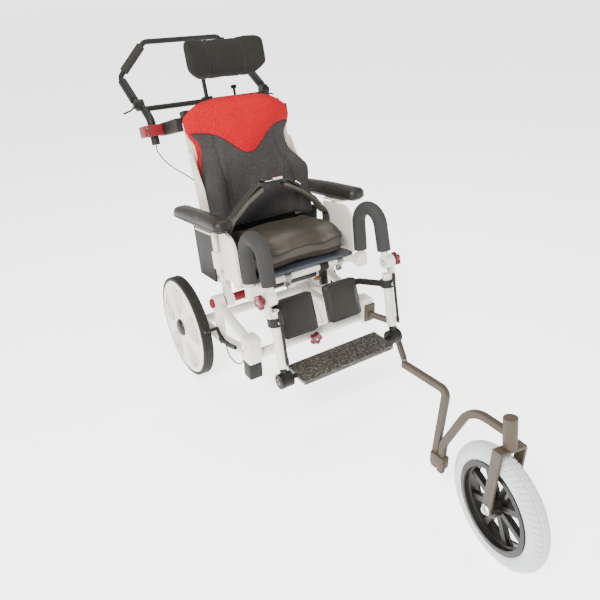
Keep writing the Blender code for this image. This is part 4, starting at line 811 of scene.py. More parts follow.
PAINT = {
    "white": painted("white_powder_coat", (0.60, 0.580, 0.528), 0.30, coat=0.12),
    "wheel_white": moulded("white_nylon", (0.68, 0.652, 0.585), 0.34, coat=0.10),
    "cream": moulded("cream_plastic", (0.58, 0.545, 0.455), 0.40),
    "black": painted("black_powder_coat", (0.0062, 0.0057, 0.0052), 0.56, wear=1.8, gloss=0.22),
    "black_plastic": moulded("black_moulding", (0.0070, 0.0064, 0.0058), 0.38, gloss=0.26),
    "board": moulded("grey_board", (0.026, 0.031, 0.042), 0.46),
    "red_metal": painted("red_anodised", (0.105, 0.0045, 0.0080), 0.52, wear=1.5, gloss=0.26),
    "red_plastic": moulded("red_knob", (0.090, 0.0040, 0.0085), 0.30, coat=0.12),
    "bronze": painted("dark_arm_paint", (0.0300, 0.0225, 0.0155), 0.52, wear=2.0, gloss=0.26),
    "tyre": rubber("black_tyre", (0.0075, 0.0070, 0.0065), (0.026, 0.024, 0.021)),
    "grey_tyre": rubber("grey_tyre", (0.42, 0.45, 0.475), (0.60, 0.63, 0.645), 0.62),
    # the knits' holes are painted darker as shade
    "dark_cloth": knitted("dark_spacer_knit", (0.0125, 0.0120, 0.0122), (0.042, 0.0400, 0.0400),
                          0.0017),
    "seat_cloth": leather("seat_coated_cloth", (0.0108, 0.0094, 0.0075), (0.048, 0.0405, 0.0310),
                          0.45),
    "red_cloth": knitted("red_spacer_knit", (0.200, 0.0010, 0.0042), (0.40, 0.0024, 0.0090),
                         0.0017),
    "head_cloth": knitted("head_cover_knit", (0.0062, 0.0058, 0.0053), (0.0170, 0.0158, 0.0142),
                          0.0016),
    "hub_grey": moulded("hub_cap_grey", (0.012, 0.012, 0.013), 0.40),
    "black_cloth": leather("black_coated_cloth", (0.0068, 0.0062, 0.0055), (0.0190, 0.0170, 0.0145),
                           0.46),
    "foam": foam("grip_foam", (0.0090, 0.0086, 0.0080), (0.030, 0.028, 0.0250)),
    "pad_foam": foam("sleeve_foam", (0.0120, 0.0122, 0.0128), (0.040, 0.040, 0.040)),
    "webbing": woven("belt_webbing", (0.0110, 0.0102, 0.0092), (0.046, 0.043, 0.037)),
    "band": leather("belt_band_cloth", (0.020, 0.0185, 0.0150), (0.062, 0.057, 0.046), 0.44,
                    0.0011),
    # the tread's lighter tone is painted glints on its grains
    "tread": gritty("tread_moulding", (0.0090, 0.0078, 0.0060), (0.120, 0.104, 0.080)),
    "steel": polished("bright_steel", (0.62, 0.62, 0.63)),
    "dark_steel": polished("dark_steel", (0.16, 0.155, 0.15), 0.3),
    "spring": polished("plated_spring", (0.30, 0.29, 0.27), 0.3),
    "copper": polished("copper_valve", (0.42, 0.17, 0.075), 0.3),
    "thread": sewing("sewing_thread", (0.016, 0.0155, 0.015)),
    "red_thread": sewing("red_sewing_thread", (0.30, 0.010, 0.014)),
    "piping": leather("piping_cloth", (0.0060, 0.0058, 0.0055), (0.0160, 0.0150, 0.0140), 0.40),
}


# Soft goods: shaped, filled by a cloth simulation, then given their seams

PENDING = []
FILL_FRAMES = 20
SKIN_SMOOTHING = 9


def soft(piece, name, surface, frame, cap=0.006, shrink=0.003, voxel=0.005, hold=None, dress=None,
         fill=0.8, seams=None, trim=None, after=None):
    """Keep a soft piece for filling.

    hold keeps a place inside its space, seams gives how deep the cover is drawn in at a place, trim
    lays piping and stitches on the finished skin, dress may split it, and after sees each part."""
    PENDING.append(dict(piece=piece, name=name, surface=surface, frame=frame, cap=cap,
                        shrink=shrink, voxel=voxel, hold=hold, dress=dress, fill=fill, seams=seams,
                        trim=trim, after=after))


def push_in(piece, depth_at):
    """Move every vertex against its normal, as far as depth_at says for its place and normal."""
    normals = [v.normal.copy() for v in piece.data.vertices]
    for vertex, normal in zip(piece.data.vertices, normals):
        vertex.co -= normal * depth_at(vertex.co, normal)


def add_cloth(piece):
    """Let a piece be blown up from inside as a light cover."""
    cloth = piece.modifiers.new("fill", "CLOTH")
    for key, value in (("quality", 4), ("mass", 0.15), ("tension_stiffness", 12),
                       ("compression_stiffness", 12), ("bending_stiffness", 0.3),
                       ("use_pressure", True), ("uniform_pressure_force", 4.0)):
        setattr(cloth.settings, key, value)
    cloth.settings.effector_weights.gravity = 0.0
    cloth.point_cache.frame_end = FILL_FRAMES


def drawn_in(item):
    """A soft piece, shrunk and remeshed so that it can be blown up again."""
    push_in(item["piece"], lambda place, normal: item["shrink"])
    modify(item["piece"], "REMESH", mode="VOXEL", voxel_size=item["voxel"])
    return baked(item["piece"])


def fill_pending():
    """Simulate all the soft pieces together, then cap how far each point moved and finish them."""
    for item in PENDING:
        item["piece"] = drawn_in(item)
        add_cloth(item["piece"])
    for number in range(1, FILL_FRAMES + 1):
        bpy.context.scene.frame_set(number)
    graph = bpy.context.evaluated_depsgraph_get()
    for item in PENDING:
        cap_motion(item, item["piece"].evaluated_get(graph).data)
    bpy.context.scene.frame_set(1)
    for item in PENDING:
        close_soft(item)


def cap_motion(item, swollen):
    """Take over the swollen skin, each point moved no further than the piece's cap allows."""
    mesh = item["piece"].data
    count = len(mesh.vertices)
    rest, moved_to = np.empty(count * 3), np.empty(count * 3)
    mesh.vertices.foreach_get("co", rest)
    swollen.vertices.foreach_get("co", moved_to)
    rest, moved_to = rest.reshape(-1, 3), moved_to.reshape(-1, 3)
    step = moved_to - rest
    length = np.linalg.norm(step, axis=1, keepdims=True)
    cap = item["cap"]
    limited = cap * np.tanh(length / cap) / np.maximum(length, 1e-9)
    placed = rest + step * limited
    item["piece"].modifiers.clear()
    mesh.vertices.foreach_set("co", placed.ravel())


def close_soft(item):
    """Smooth a filled piece, hold it in its space, draw its seams in, trim, split and finish it."""
    piece = item["piece"]
    modify(piece, "SMOOTH", factor=0.5, iterations=SKIN_SMOOTHING)
    modify(piece, "SUBSURF", levels=1, render_levels=1)
    piece = baked(piece)
    if item["hold"] is not None:
        for vertex in piece.data.vertices:
            vertex.co = item["hold"](vertex.co)
    if item["seams"] is not None:
        push_in(piece, item["seams"])
    if item["trim"] is not None:
        item["trim"](piece)
    named = [(piece, item["name"], item["surface"])]
    if item["dress"] is not None:
        named = item["dress"](piece)
    for part, name, surface in named:
        finish(part, name, surface, item["frame"], edge=0.0)
        part.data.set_sharp_from_angle(angle=SOFT_SHARP_ANGLE)
        if item["after"] is not None:
            item["after"](part, name)


def skin_of(piece):
    """A search tree of a piece's faces."""
    return BVHTree.FromPolygons([v.co for v in piece.data.vertices],
                                [p.vertices for p in piece.data.polygons])


def seated(route, piece, lift=0.0001):
    """A route laid on a piece's skin, lifted along its normals."""
    skin = skin_of(piece)
    found = [skin.find_nearest(place) for place in route]
    return [spot + normal * lift for spot, normal, _, _ in found]


def seen_from_front(skin, spots, facing, lift):
    """Where sight lines from the front meet a skin, for (x, z) spots where it faces them enough."""
    row = []
    for x, z in spots:
        spot, normal, _, _ = skin.ray_cast(Vector((x, -0.4, z)), Vector((0, 1, 0)))
        if spot is not None and normal.y < -facing:
            row.append(spot + normal * lift)
    return row


def piping(route, piece, radius, name, node, frame):
    """A round welt that is half sunk in a cushion's skin along a closed route."""
    laid = seated(route, piece, radius * 0.35)
    laid.append(laid[0])
    for _ in range(2):
        evened = [(a + b * 2 + c) / 4 for a, b, c in zip(laid, laid[1:], laid[2:])]
        laid = [laid[0], *evened, laid[-1]]
    return detail(rod(laid, radius, resolution=2), name, "piping", node, frame)


def groove(distance, depth, width):
    """How deep a sewn seam pulls the cover in, that far from it."""
    return depth * exp(-(distance / width) ** 2)


# Sub-assemblies


def rear_wheel(side):
    """Ribbed solid tyre on a dished disc with five petal recesses, ribs behind it and screws."""
    sign = SIDES[side]
    half = REAR_TYRE_WIDTH / 2
    rim = REAR_RADIUS - REAR_TYRE_DEPTH
    shoulder = 0.004
    turns = [radians(15 * k) for k in range(7)]
    profile = [(rim + GAP, -half), (rim + GAP, half)]
    profile += [(REAR_RADIUS - shoulder + shoulder * sin(a), half - shoulder + shoulder * cos(a))
                for a in turns]
    for rib in (0.0070, 0.0, -0.0070):
        profile += [(REAR_RADIUS, rib + 0.0009), (REAR_RADIUS - 0.0012, rib + 0.0005),
                    (REAR_RADIUS - 0.0012, rib - 0.0005), (REAR_RADIUS, rib - 0.0009)]
    profile += [(REAR_RADIUS - shoulder + shoulder * cos(a), shoulder - half - shoulder * sin(a))
                for a in turns]
    tyre = turned(profile, WHEEL_FACETS)
    hub, dish, cap, bore_end = 0.026, 0.060, 0.015, 0.012
    bore = AXLE_RADIUS + RUN
    disc = turned([(0, bore_end), (bore, bore_end), (bore, -half + GAP), (hub, -half + GAP),
                   (hub + 0.004, -0.008), (rim - 0.018, -0.008), (rim - 0.012, -half + 0.002),
                   (rim, -half + 0.002), (rim, half - 0.001), (rim - 0.003, half + 0.0006),
                   (rim - 0.009, half + 0.0010), (dish, half + 0.004),
                   (cap + 0.002, half + 0.003), (cap - 0.001, half + 0.013), (0, half + 0.014)],
                  WHEEL_FACETS)
    recesses = [petal(-0.0030, half + 0.02, 0.046, rim - 0.0135, radians(25), radians(20 + 72 * k))
                for k in range(5)]
    centre = Vector((sign * WHEEL_X, 0, REAR_RADIUS))
    finish(on_hub(tyre, sign, centre), "rear_tyre_" + side, "tyre", edge=0.0003)
    finish(on_hub(cut(disc, *recesses), sign, centre), "rear_disc_" + side, "wheel_white",
           edge=0.0014)
    rib_back, rib_face, screw_circle = -0.0110, -0.0075, 0.118
    ribs = [box((-0.0105, -0.0022, hub + 0.002), (rib_face, 0.0022, rim - 0.016))
            for _ in range(10)]
    for k, rib in enumerate(ribs):
        rib.data.transform(Matrix.Rotation(2 * pi * k / len(ribs), 4, "X"))
    ring = turned([(hub + 0.0015, rib_back), (hub + 0.0050, rib_back), (hub + 0.0050, rib_face),
                   (hub + 0.0015, rib_face)], WHEEL_FACETS)
    detail(on_hub(union(ring, *ribs), sign, centre), "disc_ribs_" + side, "wheel_white",
           "rear_disc_" + side, edge=0.0006)
    for k in range(5):
        angle = radians(56 + 72 * k) * sign
        spot = Vector((sign * (WHEEL_X + half + 0.0006), screw_circle * cos(angle) * -sign,
                       screw_circle * sin(angle)))
        bolt(spot + Vector((0, 0, REAR_RADIUS)), (sign, 0, 0), 0.0026, f"disc_screw_{k}_{side}",
             "dark_steel", "rear_disc_" + side)


def hub_cap(side):
    """The dark domed cap on a rear wheel's hub."""
    sign = SIDES[side]
    face, radius = REAR_TYRE_WIDTH / 2 + 0.0040, 0.0262
    cover = turned([(0.0, face + 0.0112), (0.0100, face + 0.0108), (0.0190, face + 0.0080),
                    (0.0245, face + 0.0038), (radius, face), (radius, face - 0.0020),
                    (0.0, face - 0.0020)], 64)
    centre = Vector((sign * WHEEL_X, 0, REAR_RADIUS))
    detail(on_hub(cover, sign, centre), "hub_cap_" + side, "hub_grey", "rear_disc_" + side)


def on_hub(piece, sign, centre):
    """Turn a wheel's piece to face outward on its side, and carry it to the hub."""
    if sign < 0:
        piece.data.transform(Matrix.Rotation(pi, 4, "Z"))
    return moved(piece, centre)


def petal(floor, face, inner, outer, spread, turn):
    """A cutter for a wheel's recess: a rounded sector whose walls lean out towards the face."""
    loops = []
    for x, grow in ((floor, -0.0030), (face, 0.0010)):
        loop = []
        for k in range(PETAL_FACETS):
            along, sideways = squared(2 * pi * k / PETAL_FACETS, 0.60, 0.72)
            r = (inner + outer) / 2 + along * ((outer - inner) / 2 + grow)
            width = (r * tan(spread) * 0.92 + grow) * sideways
            loop.append((x, r - 0.004 * sideways * sideways * (r / outer), width))
        loops.append(loop)
    piece = lofted(loops)
    piece.data.transform(Matrix.Rotation(turn, 4, "X"))
    return piece


def frame_side(side):
    """One welded side of the base: foot tube, upright, diagonal, pivot boss, lug and stub axle."""
    x = SIDES[side] * FRAME_X
    axle = (x, 0, REAR_RADIUS)
    foot = (x, PIVOT_Y, FOOT_TUBE_HEIGHT)
    foot_tube = rod([axle, (x, -0.055, FOOT_TUBE_HEIGHT - 0.004), foot,
                     (x, INTO_LUG, FOOT_TUBE_END)], TUBE_RADIUS, bend=0.05)
    upright = cylinder((x, PIVOT_Y, FOOT_TUBE_HEIGHT), (x, PIVOT_Y, PIVOT_HEIGHT), TUBE_RADIUS)
    diagonal = cylinder((x, PIVOT_Y, PIVOT_HEIGHT - 0.006),
                        (x, INTO_LUG, LUG_TOP - TUBE_RADIUS - 0.006), TUBE_RADIUS - 0.001)
    boss, bore = (across(x - reach, x + reach, PIVOT_Y, PIVOT_HEIGHT, radius, FINE_FACETS)
                  for reach, radius in ((0.014, PIVOT_TUBE_RADIUS + 0.008),
                                        (0.020, PIVOT_TUBE_RADIUS + GAP)))
    lug = box((x - LUG_WIDTH / 2, LUG_Y - LUG_DEPTH / 2, LUG_BOTTOM),
              (x + LUG_WIDTH / 2, LUG_Y + LUG_DEPTH / 2, LUG_TOP), bevel=0.006)
    out = SIDES[side]
    wheel_face = WHEEL_X - REAR_TYRE_WIDTH / 2
    hub_boss = across(x - out * (TUBE_RADIUS + 0.001), out * (wheel_face - 0.003), 0, REAR_RADIUS,
                      0.020)
    stub = across(x, out * (WHEEL_X + 0.0115), 0, REAR_RADIUS, AXLE_RADIUS)
    body = union(foot_tube, upright, diagonal, boss, lug, hub_boss, stub)
    finish(cut(body, bore), "frame_side_" + side, "white")


def foot_tube_height(y):
    """Height of the foot tube's axis between the upright and the lug."""
    share = (PIVOT_Y - y) / (PIVOT_Y - INTO_LUG)
    return FOOT_TUBE_HEIGHT + share * (FOOT_TUBE_END - FOOT_TUBE_HEIGHT)


def base_tubes():
    """Tubes between the base's sides, the sleeve on the pivot tube, and the castor receiver."""
    inner = FRAME_X - TUBE_RADIUS - 0.001 - GAP
    axle = across(-inner, inner, 0, REAR_RADIUS, 0.014)
    finish(axle, "axle_tube", "white")
    end = FRAME_X + TUBE_RADIUS + PIVOT_TUBE_OVERHANG
    pivot = across(-end, end, PIVOT_Y, PIVOT_HEIGHT, PIVOT_TUBE_RADIUS, FINE_FACETS)
    finish(pivot, "pivot_tube", "red_metal")
    sleeve, hollow = (across(x0, x1, PIVOT_Y, PIVOT_HEIGHT, PIVOT_TUBE_RADIUS + wall, FINE_FACETS)
                      for x0, x1, wall in ((-0.050, RAIL_X - 0.0135, 0.0011),
                                           (-RAIL_X, RAIL_X, 0.0001)))
    detail(cut(sleeve, hollow), "pivot_sleeve", "black_plastic", "pivot_tube")
    lug_face = FRAME_X - LUG_WIDTH / 2 - GAP
    cross = across(-lug_face, lug_face, LUG_Y, CROSS_TUBE_HEIGHT, TUBE_RADIUS)
    finish(cross, "front_cross_tube", "white")
    half = RECEIVER_SIZE / 2
    top = LUG_BOTTOM - GAP
    receiver = box((-FRAME_X - half, LUG_Y - half, top - RECEIVER_LENGTH),
                   (-FRAME_X + half, LUG_Y + half, top), bevel=0.002)
    bore = RECEIVER_BORE / 2
    socket = box((-FRAME_X - bore, LUG_Y - bore, top - RECEIVER_LENGTH - 0.01),
                 (-FRAME_X + bore, LUG_Y + bore, top - 0.010))
    finish(cut(receiver, socket), "castor_receiver_right", "black")


def star_knob(centre, axis, name, frame=PLACE):
    """A five-lobed knob with a domed face and its screw's end; axis points out of its seat."""
    place = standing(centre, axis)
    lobes, rim, depth = 5, 0.0165, 0.013
    points = 30 * lobes
    levels = [(0.006, 0.86), (0.0066, 0.93), (0.0080, 0.985), (0.0105, 1.0), (0.0150, 1.0),
              (0.0172, 0.97), (0.0186, 0.90), (0.0190, 0.80), (0.0186, 0.55), (0.0176, 0.47),
              (0.0174, 0.30)]
    rings = []
    for z, share in levels:
        ring = []
        for k in range(points):
            angle = 2 * pi * k / points
            r = rim * share * (1 + 0.14 * cos(lobes * angle) * smooth((share - 0.3) / 0.5))
            ring.append((r * cos(angle), r * sin(angle), z))
        rings.append(ring)
    knob = union(lofted(rings), cylinder((0, 0, 0), (0, 0, 0.008), 0.007))
    knob.data.transform(place)
    finish(knob, name, "red_plastic", frame)
    stud = cylinder((0, 0, depth), (0, 0, depth + 0.0052), 0.0034, 24, 0.0028)
    stud.data.transform(place)
    detail(stud, name + "_stud", "steel", name, frame, edge=0.0003)


def brake_lever(side):
    """Lever beside the foot tube whose shoe meets the tyre when it is raised."""
    out = SIDES[side]
    hub_y, hub_z = -0.188, FOOT_TUBE_HEIGHT + 0.020
    inner = out * (FRAME_X + TUBE_RADIUS + GAP)
    outer = out * (FRAME_X + TUBE_RADIUS + GAP + 0.008)
    to_axle = hypot(hub_y, hub_z - REAR_RADIUS)
    shoe_radius = 0.005
    throw = to_axle - REAR_RADIUS - shoe_radius - GAP
    rest = radians(45)
    flat = (0.007, 0.010)
    shoe_y = hub_y + throw * cos(rest)
    shoe_z = hub_z + throw * sin(rest)
    hub = across(inner, outer, hub_y, hub_z, 0.011)
    middle = outer - out * 0.004
    handle = bar([(middle, hub_y, hub_z), (middle, hub_y - 0.045, hub_z + 0.004),
                  (middle, hub_y - 0.085, hub_z + 0.016)], *flat, bend=0.02)
    crank = bar([(middle, hub_y, hub_z), (middle, shoe_y, shoe_z)], *flat)
    shoe = across(outer - out * 0.007, out * (WHEEL_X + 0.012), shoe_y, shoe_z, shoe_radius)
    finish(union(hub, handle, crank, shoe), "brake_lever_" + side, "black")


def front_arm():
    """Square tube from the left lug, out round the foot rest, then along the middle and down."""
    half = ARM_SIZE / 2
    half_width = ARM_WIDTH / 2
    plate_face = LUG_Y - LUG_DEPTH / 2 - GAP
    plate = box((FRAME_X - 0.017, plate_face - 0.008, LUG_BOTTOM + 0.010),
                (FRAME_X + 0.017, plate_face, LUG_TOP - 0.012), bevel=0.002)
    height = LUG_BOTTOM + 0.030
    route = [(FRAME_X, plate_face - 0.004, height), (FRAME_X + 0.002, plate_face - 0.014, height),
             (ARM_OUTBOARD, plate_face - 0.046, height - 0.014),
             (ARM_OUTBOARD, plate_face - 0.072, height - 0.030),
             (ARM_OUTBOARD, -0.478, ARM_LOW_END), (0, -0.700, ARM_FRONT_HEIGHT - 0.004),
             (0, -ARM_DROP_FORWARD - ARM_DROP_LEAN, ARM_FRONT_HEIGHT),
             (0, -ARM_DROP_FORWARD, ARM_LOW_END + 0.048), (0, -ARM_DROP_FORWARD, ARM_LOW_END)]
    tube = bar(route, ARM_WIDTH, ARM_SIZE, bend=0.014, level=True)
    jaw = half + CLAMP_WALL
    jaw_width = half_width + CLAMP_WALL
    low = ARM_LOW_END + 0.010
    clamp = box((-jaw_width, ARM_STUB_Y - jaw, low),
                (jaw_width, -ARM_DROP_FORWARD + half, low + CLAMP_HEIGHT), bevel=0.002)
    passage = box((-half_width - GAP, ARM_STUB_Y - half - GAP, low - 0.01),
                  (half_width + GAP, ARM_STUB_Y + half + GAP, low + CLAMP_HEIGHT + 0.01))
    finish(cut(union(tube, plate, clamp), passage), "front_arm", "bronze")


def wheel_arm():
    """Lower arm that slides in the clamp and carries the head tube.

    Gives the head tube's lower and upper end, and the direction from upper to lower."""
    rake = Vector((0, -sin(HEAD_RAKE), -cos(HEAD_RAKE)))
    head = Vector((0, -HEAD_FORWARD, HEAD_HEIGHT))
    route = [(0, ARM_STUB_Y, ARM_LOW_END - 0.004), (0, ARM_STUB_Y, 0.178),
             (0, ARM_STUB_Y - 0.060, HEAD_HEIGHT - 0.004),
             (0, -HEAD_FORWARD + 0.004, HEAD_HEIGHT - 0.004)]
    tube = bar(route, ARM_WIDTH, ARM_SIZE, bend=0.060)
    top = head - rake * HEAD_TUBE_LENGTH / 2
    bottom = head + rake * HEAD_TUBE_LENGTH / 2
    head_tube = cylinder(bottom, top, HEAD_TUBE_RADIUS, FINE_FACETS)
    bore = cylinder(bottom + rake * 0.01, top + rake * 0.008, STEERER_RADIUS + RUN, FINE_FACETS)
    body = cut(union(tube, head_tube), bore)
    finish(body, "wheel_arm", "bronze")
    return bottom, top, rake


def front_fork(bottom, top, rake):
    """Crown, steerer, two flat legs and the axle, turned about the raked steering axis.

    Gives the place of the wheel's hub."""
    axle = Vector((0, -WHEELBASE, FRONT_RADIUS))
    crown_top = bottom + rake * GAP
    leg_x = FRONT_TYRE_WIDTH / 2 + FORK_CLEARANCE
    outer = leg_x + FORK_LEG_THICKNESS
    depth = FORK_LEG_DEPTH / 2
    crown = box((-outer, -depth, -0.007), (outer, depth, 0), bevel=0.0015)
    crown.data.transform(Matrix.Rotation(-HEAD_RAKE, 4, "X"))
    moved(crown, crown_top)
    steerer = cylinder(crown_top + rake * 0.003, top + rake * 0.010, STEERER_RADIUS, FINE_FACETS)
    parts = [steerer]
    for sign in (1, -1):
        middle = sign * (leg_x + FORK_LEG_THICKNESS / 2)
        high = crown_top + rake * 0.004
        leg = bar([(middle, high.y, high.z), (middle, axle.y, axle.z)],
                  FORK_LEG_THICKNESS - 0.0004, FORK_LEG_DEPTH)
        foot = across(sign * (leg_x + 0.0004), sign * (outer - 0.0004), axle.y, axle.z,
                      depth + 0.0015)
        parts += [leg, foot]
    parts.append(across(-outer - 0.004, outer + 0.004, axle.y, axle.z, AXLE_RADIUS))
    fork = union(crown, *parts)
    steer = (Matrix.Translation(bottom) @ Matrix.Rotation(FORK_STEER, 4, -rake)
             @ Matrix.Translation(-bottom))
    fork.data.transform(steer)
    finish(fork, "front_fork", "bronze")
    return steer @ Matrix.Translation(axle)


def front_wheel(hub_place):
    """Pneumatic tyre with a cut tread, eight-spoke plastic rim, the axle's nuts and the valve."""
    half = FRONT_TYRE_WIDTH / 2
    seat = FRONT_RADIUS - FRONT_TYRE_DEPTH
    section = [(seat + GAP, -0.017), (seat + GAP, 0.017)]
    crown = seat + FRONT_TYRE_DEPTH - half
    for k in range(TYRE_ARC + 1):
        angle = radians(-20 + 220 * k / TYRE_ARC)
        section.append((crown + half * sin(angle), half * cos(angle)))
    tyre = turned(section, TREAD_BLOCKS * 10)
    cut_tread(tyre, crown)
    flank = [(0.0120, 0.009), (0.0105, 0.0165), (0.0120, 0.0190), (0.0100, 0.0205), (0.0, 0.020)]
    rim_section = [(seat - 0.0150, -0.006), (seat - 0.0150, 0.006)]
    rim_section += [(seat - d, x) for d, x in flank]
    rim_section += [(seat - d, -x) for d, x in reversed(flank)]
    rim = turned(rim_section, WHEEL_FACETS)
    spokes = []
    for k in range(FRONT_SPOKES):
        spoke = box((-0.0065, -0.0065, 0.012), (0.0065, 0.0065, seat - 0.012))
        spoke.data.transform(Matrix.Rotation(2 * pi * (k + 0.37) / FRONT_SPOKES, 4, "X"))
        spokes.append(spoke)
    rim = union(rim, across(-half - 0.002, half + 0.002, 0, 0, 0.019, FINE_FACETS), *spokes)
    rim = cut(rim, across(-half - 0.01, half + 0.01, 0, 0, AXLE_RADIUS + RUN))
    tyre.data.transform(hub_place)
    finish(tyre, "front_tyre", "grey_tyre", edge=0.0)
    rim.data.transform(hub_place)
    finish(rim, "front_rim", "black_plastic", edge=0.0016)
    outer = half + FORK_CLEARANCE + FORK_LEG_THICKNESS
    fixings = (("nut", 0.0001, 0.0050, 0.0088, 6, 0.0088),
               ("washer", -0.0002, 0.0010, 0.0108, 40, 0.0108),
               ("end", 0.0040, 0.0078, 0.0052, 24, 0.0044))
    for (side, sign), (name, low, high, radius, sides, far) in product(SIDES.items(), fixings):
        piece = cylinder((sign * (outer + low), 0, 0), (sign * (outer + high), 0, 0), radius,
                         sides, far)
        piece.data.transform(hub_place)
        detail(piece, f"axle_{name}_{side}", "steel", "front_fork", edge=0.0004)
    valve = cylinder((0, 0, seat - 0.016), (0, 0, seat - 0.036), 0.0024, 20, 0.0019)
    valve.data.transform(hub_place @ Matrix.Rotation(radians(140), 4, "X"))
    detail(valve, "tyre_valve", "black_plastic", "front_rim", edge=0.0003)


def cut_tread(tyre, crown):
    """Press two round grooves, slanted side cuts and centre cuts into the front tyre's tread."""
    edge, groove_at, blocks_end = 0.35, 0.16, 0.74
    for vertex in tyre.data.vertices:
        x, y, z = vertex.co
        reach = hypot(y, z)
        lift = atan2(reach - crown, x)
        if lift <= edge or lift >= pi - edge:
            continue
        share = (pi / 2 - lift) / (pi / 2)
        off = abs(share)
        turn = atan2(z, y) * TREAD_BLOCKS / (2 * pi)
        rings = exp(-((off - groove_at) / 0.030) ** 2)
        phase = (turn + off * 1.1 + (0.5 if share > 0 else 0.0)) % 1.0
        blocks = exp(-((phase - 0.5) / 0.10) ** 2) * smooth((off - groove_at) / 0.05)
        blocks *= smooth((blocks_end - off) / 0.06)
        middle = exp(-(((turn + share * 1.5) % 1.0 - 0.5) / 0.10) ** 2) if off < groove_at else 0.0
        out = Vector((x, y * (reach - crown) / reach, z * (reach - crown) / reach)).normalized()
        vertex.co -= out * TREAD_DEPTH * max(rings, blocks, 0.7 * middle)


def seat_frame(frame):
    """Rails, cross bars, pivot sleeves, back hinge plates and pins, and the leg rest receivers."""
    parts = []
    hinge_plate = 0.005
    low_z = BACK_PIVOT_LIFT - 0.014
    hinge_outline = [(-0.012, low_z + 0.012), (0.020, low_z), (BACK_PIVOT_BACK + 0.010, low_z),
                     (BACK_PIVOT_BACK + 0.016, low_z + 0.008),
                     (BACK_PIVOT_BACK + 0.014, low_z + 0.024),
                     (0.030, SHELF_TOP), (-0.012, SHELF_TOP)]
    for sign in (1, -1):
        x = sign * RAIL_X
        parts.append(cylinder((x, RAIL_REAR, RAIL_LIFT), (x, -RAIL_FRONT, RAIL_LIFT), RAIL_RADIUS))
        parts.append(across(x - 0.012, x + 0.012, 0, 0, PIVOT_TUBE_RADIUS + 0.0075, FINE_FACETS))
        parts.append(box((x - 0.008, -0.014, 0.005), (x + 0.008, 0.012, RAIL_LIFT)))
        parts.append(extruded(hinge_outline, x - hinge_plate / 2, x + hinge_plate / 2))
        parts.append(across(x, sign * (POST_X - 0.014), BACK_PIVOT_BACK, BACK_PIVOT_LIFT,
                            AXLE_RADIUS))
        receiver_in = sign * (RAIL_X + 0.004)
        receiver_out = sign * (LEG_X + 0.012)
        parts.append(box((receiver_in, -HANGER_REAR - 0.012, RAIL_LIFT - 0.020),
                         (receiver_out, -HANGER_REAR + 0.012, RAIL_LIFT + 0.015), bevel=0.002))
        shelf_out = sign * (GUARD_INSIDE + GUARD_THICKNESS)
        for shelf_y in (-GUARD_FRONT + 0.022, -GUARD_REAR - 0.022):
            parts.append(box((receiver_in, shelf_y - 0.009, RAIL_LIFT - 0.006),
                             (shelf_out, shelf_y + 0.009, SHELF_TOP)))
    for y in (FRONT_BAR_Y, REAR_BAR_Y):
        parts.append(across(-RAIL_X, RAIL_X, y, RAIL_LIFT, CROSS_BAR_RADIUS))
    body = union(*parts)
    bore = PIVOT_TUBE_RADIUS + RUN
    body = cut(body, across(-RAIL_X - 0.02, RAIL_X + 0.02, 0, 0, bore, FINE_FACETS))
    finish(body, "seat_frame", "white", frame)
    half = RAIL_X + 0.002
    pan = box((-half, -SEAT_FRONT + 0.004, PAN_BOTTOM), (half, SEAT_REAR - 0.010, PAN_TOP),
              bevel=0.002)
    finish(pan, "seat_pan", "board", frame)
    seat_hardware(frame)


def seat_hardware(frame):
    """Clips, latch and valve on the seat frame's front cross bar, under the pan's front edge."""
    for number, x in enumerate((-0.112, -0.052, 0.112)):
        loop = across(x - 0.009, x + 0.009, FRONT_BAR_Y, RAIL_LIFT, CROSS_BAR_RADIUS + 0.0022,
                      FINE_FACETS)
        tongue = box((x - 0.009, FRONT_BAR_Y - 0.004, RAIL_LIFT - 0.026),
                     (x + 0.009, FRONT_BAR_Y + 0.004, RAIL_LIFT - 0.004), bevel=0.0015)
        detail(union(loop, tongue), f"pan_clip_{number}", "spring", "seat_frame", frame,
               edge=0.0005)
        bolt((x, FRONT_BAR_Y - 0.004, RAIL_LIFT - 0.019), (0, -1, 0), 0.0042,
             f"pan_clip_bolt_{number}", "dark_steel", "seat_frame", frame)
    latch = union(across(0.046, 0.072, FRONT_BAR_Y, RAIL_LIFT, CROSS_BAR_RADIUS + 0.0035,
                         FINE_FACETS),
                  box((0.048, FRONT_BAR_Y - 0.007, RAIL_LIFT - 0.052),
                      (0.070, FRONT_BAR_Y + 0.007, RAIL_LIFT - 0.004), bevel=0.003))
    detail(latch, "tilt_latch", "black_plastic", "seat_frame", frame, edge=0.0006)
    valve_lift = RAIL_LIFT - 0.030
    valve = union(across(0.036, 0.048, FRONT_BAR_Y, valve_lift, 0.0060),
                  across(0.029, 0.037, FRONT_BAR_Y, valve_lift, 0.0038, 32))
    detail(valve, "tilt_latch_valve", "copper", "seat_frame", frame, edge=0.0005)
    housing = box((-0.030, -0.150, RAIL_LIFT - 0.026), (0.030, -0.112, SHELF_TOP),
                  bevel=0.004)
    tunnel = across(-0.04, 0.04, REAR_BAR_Y, RAIL_LIFT, RAIL_RADIUS + 0.0005, FINE_FACETS)
    detail(cut(housing, tunnel), "pan_bracket", "black", "seat_frame", frame, edge=0.0006)


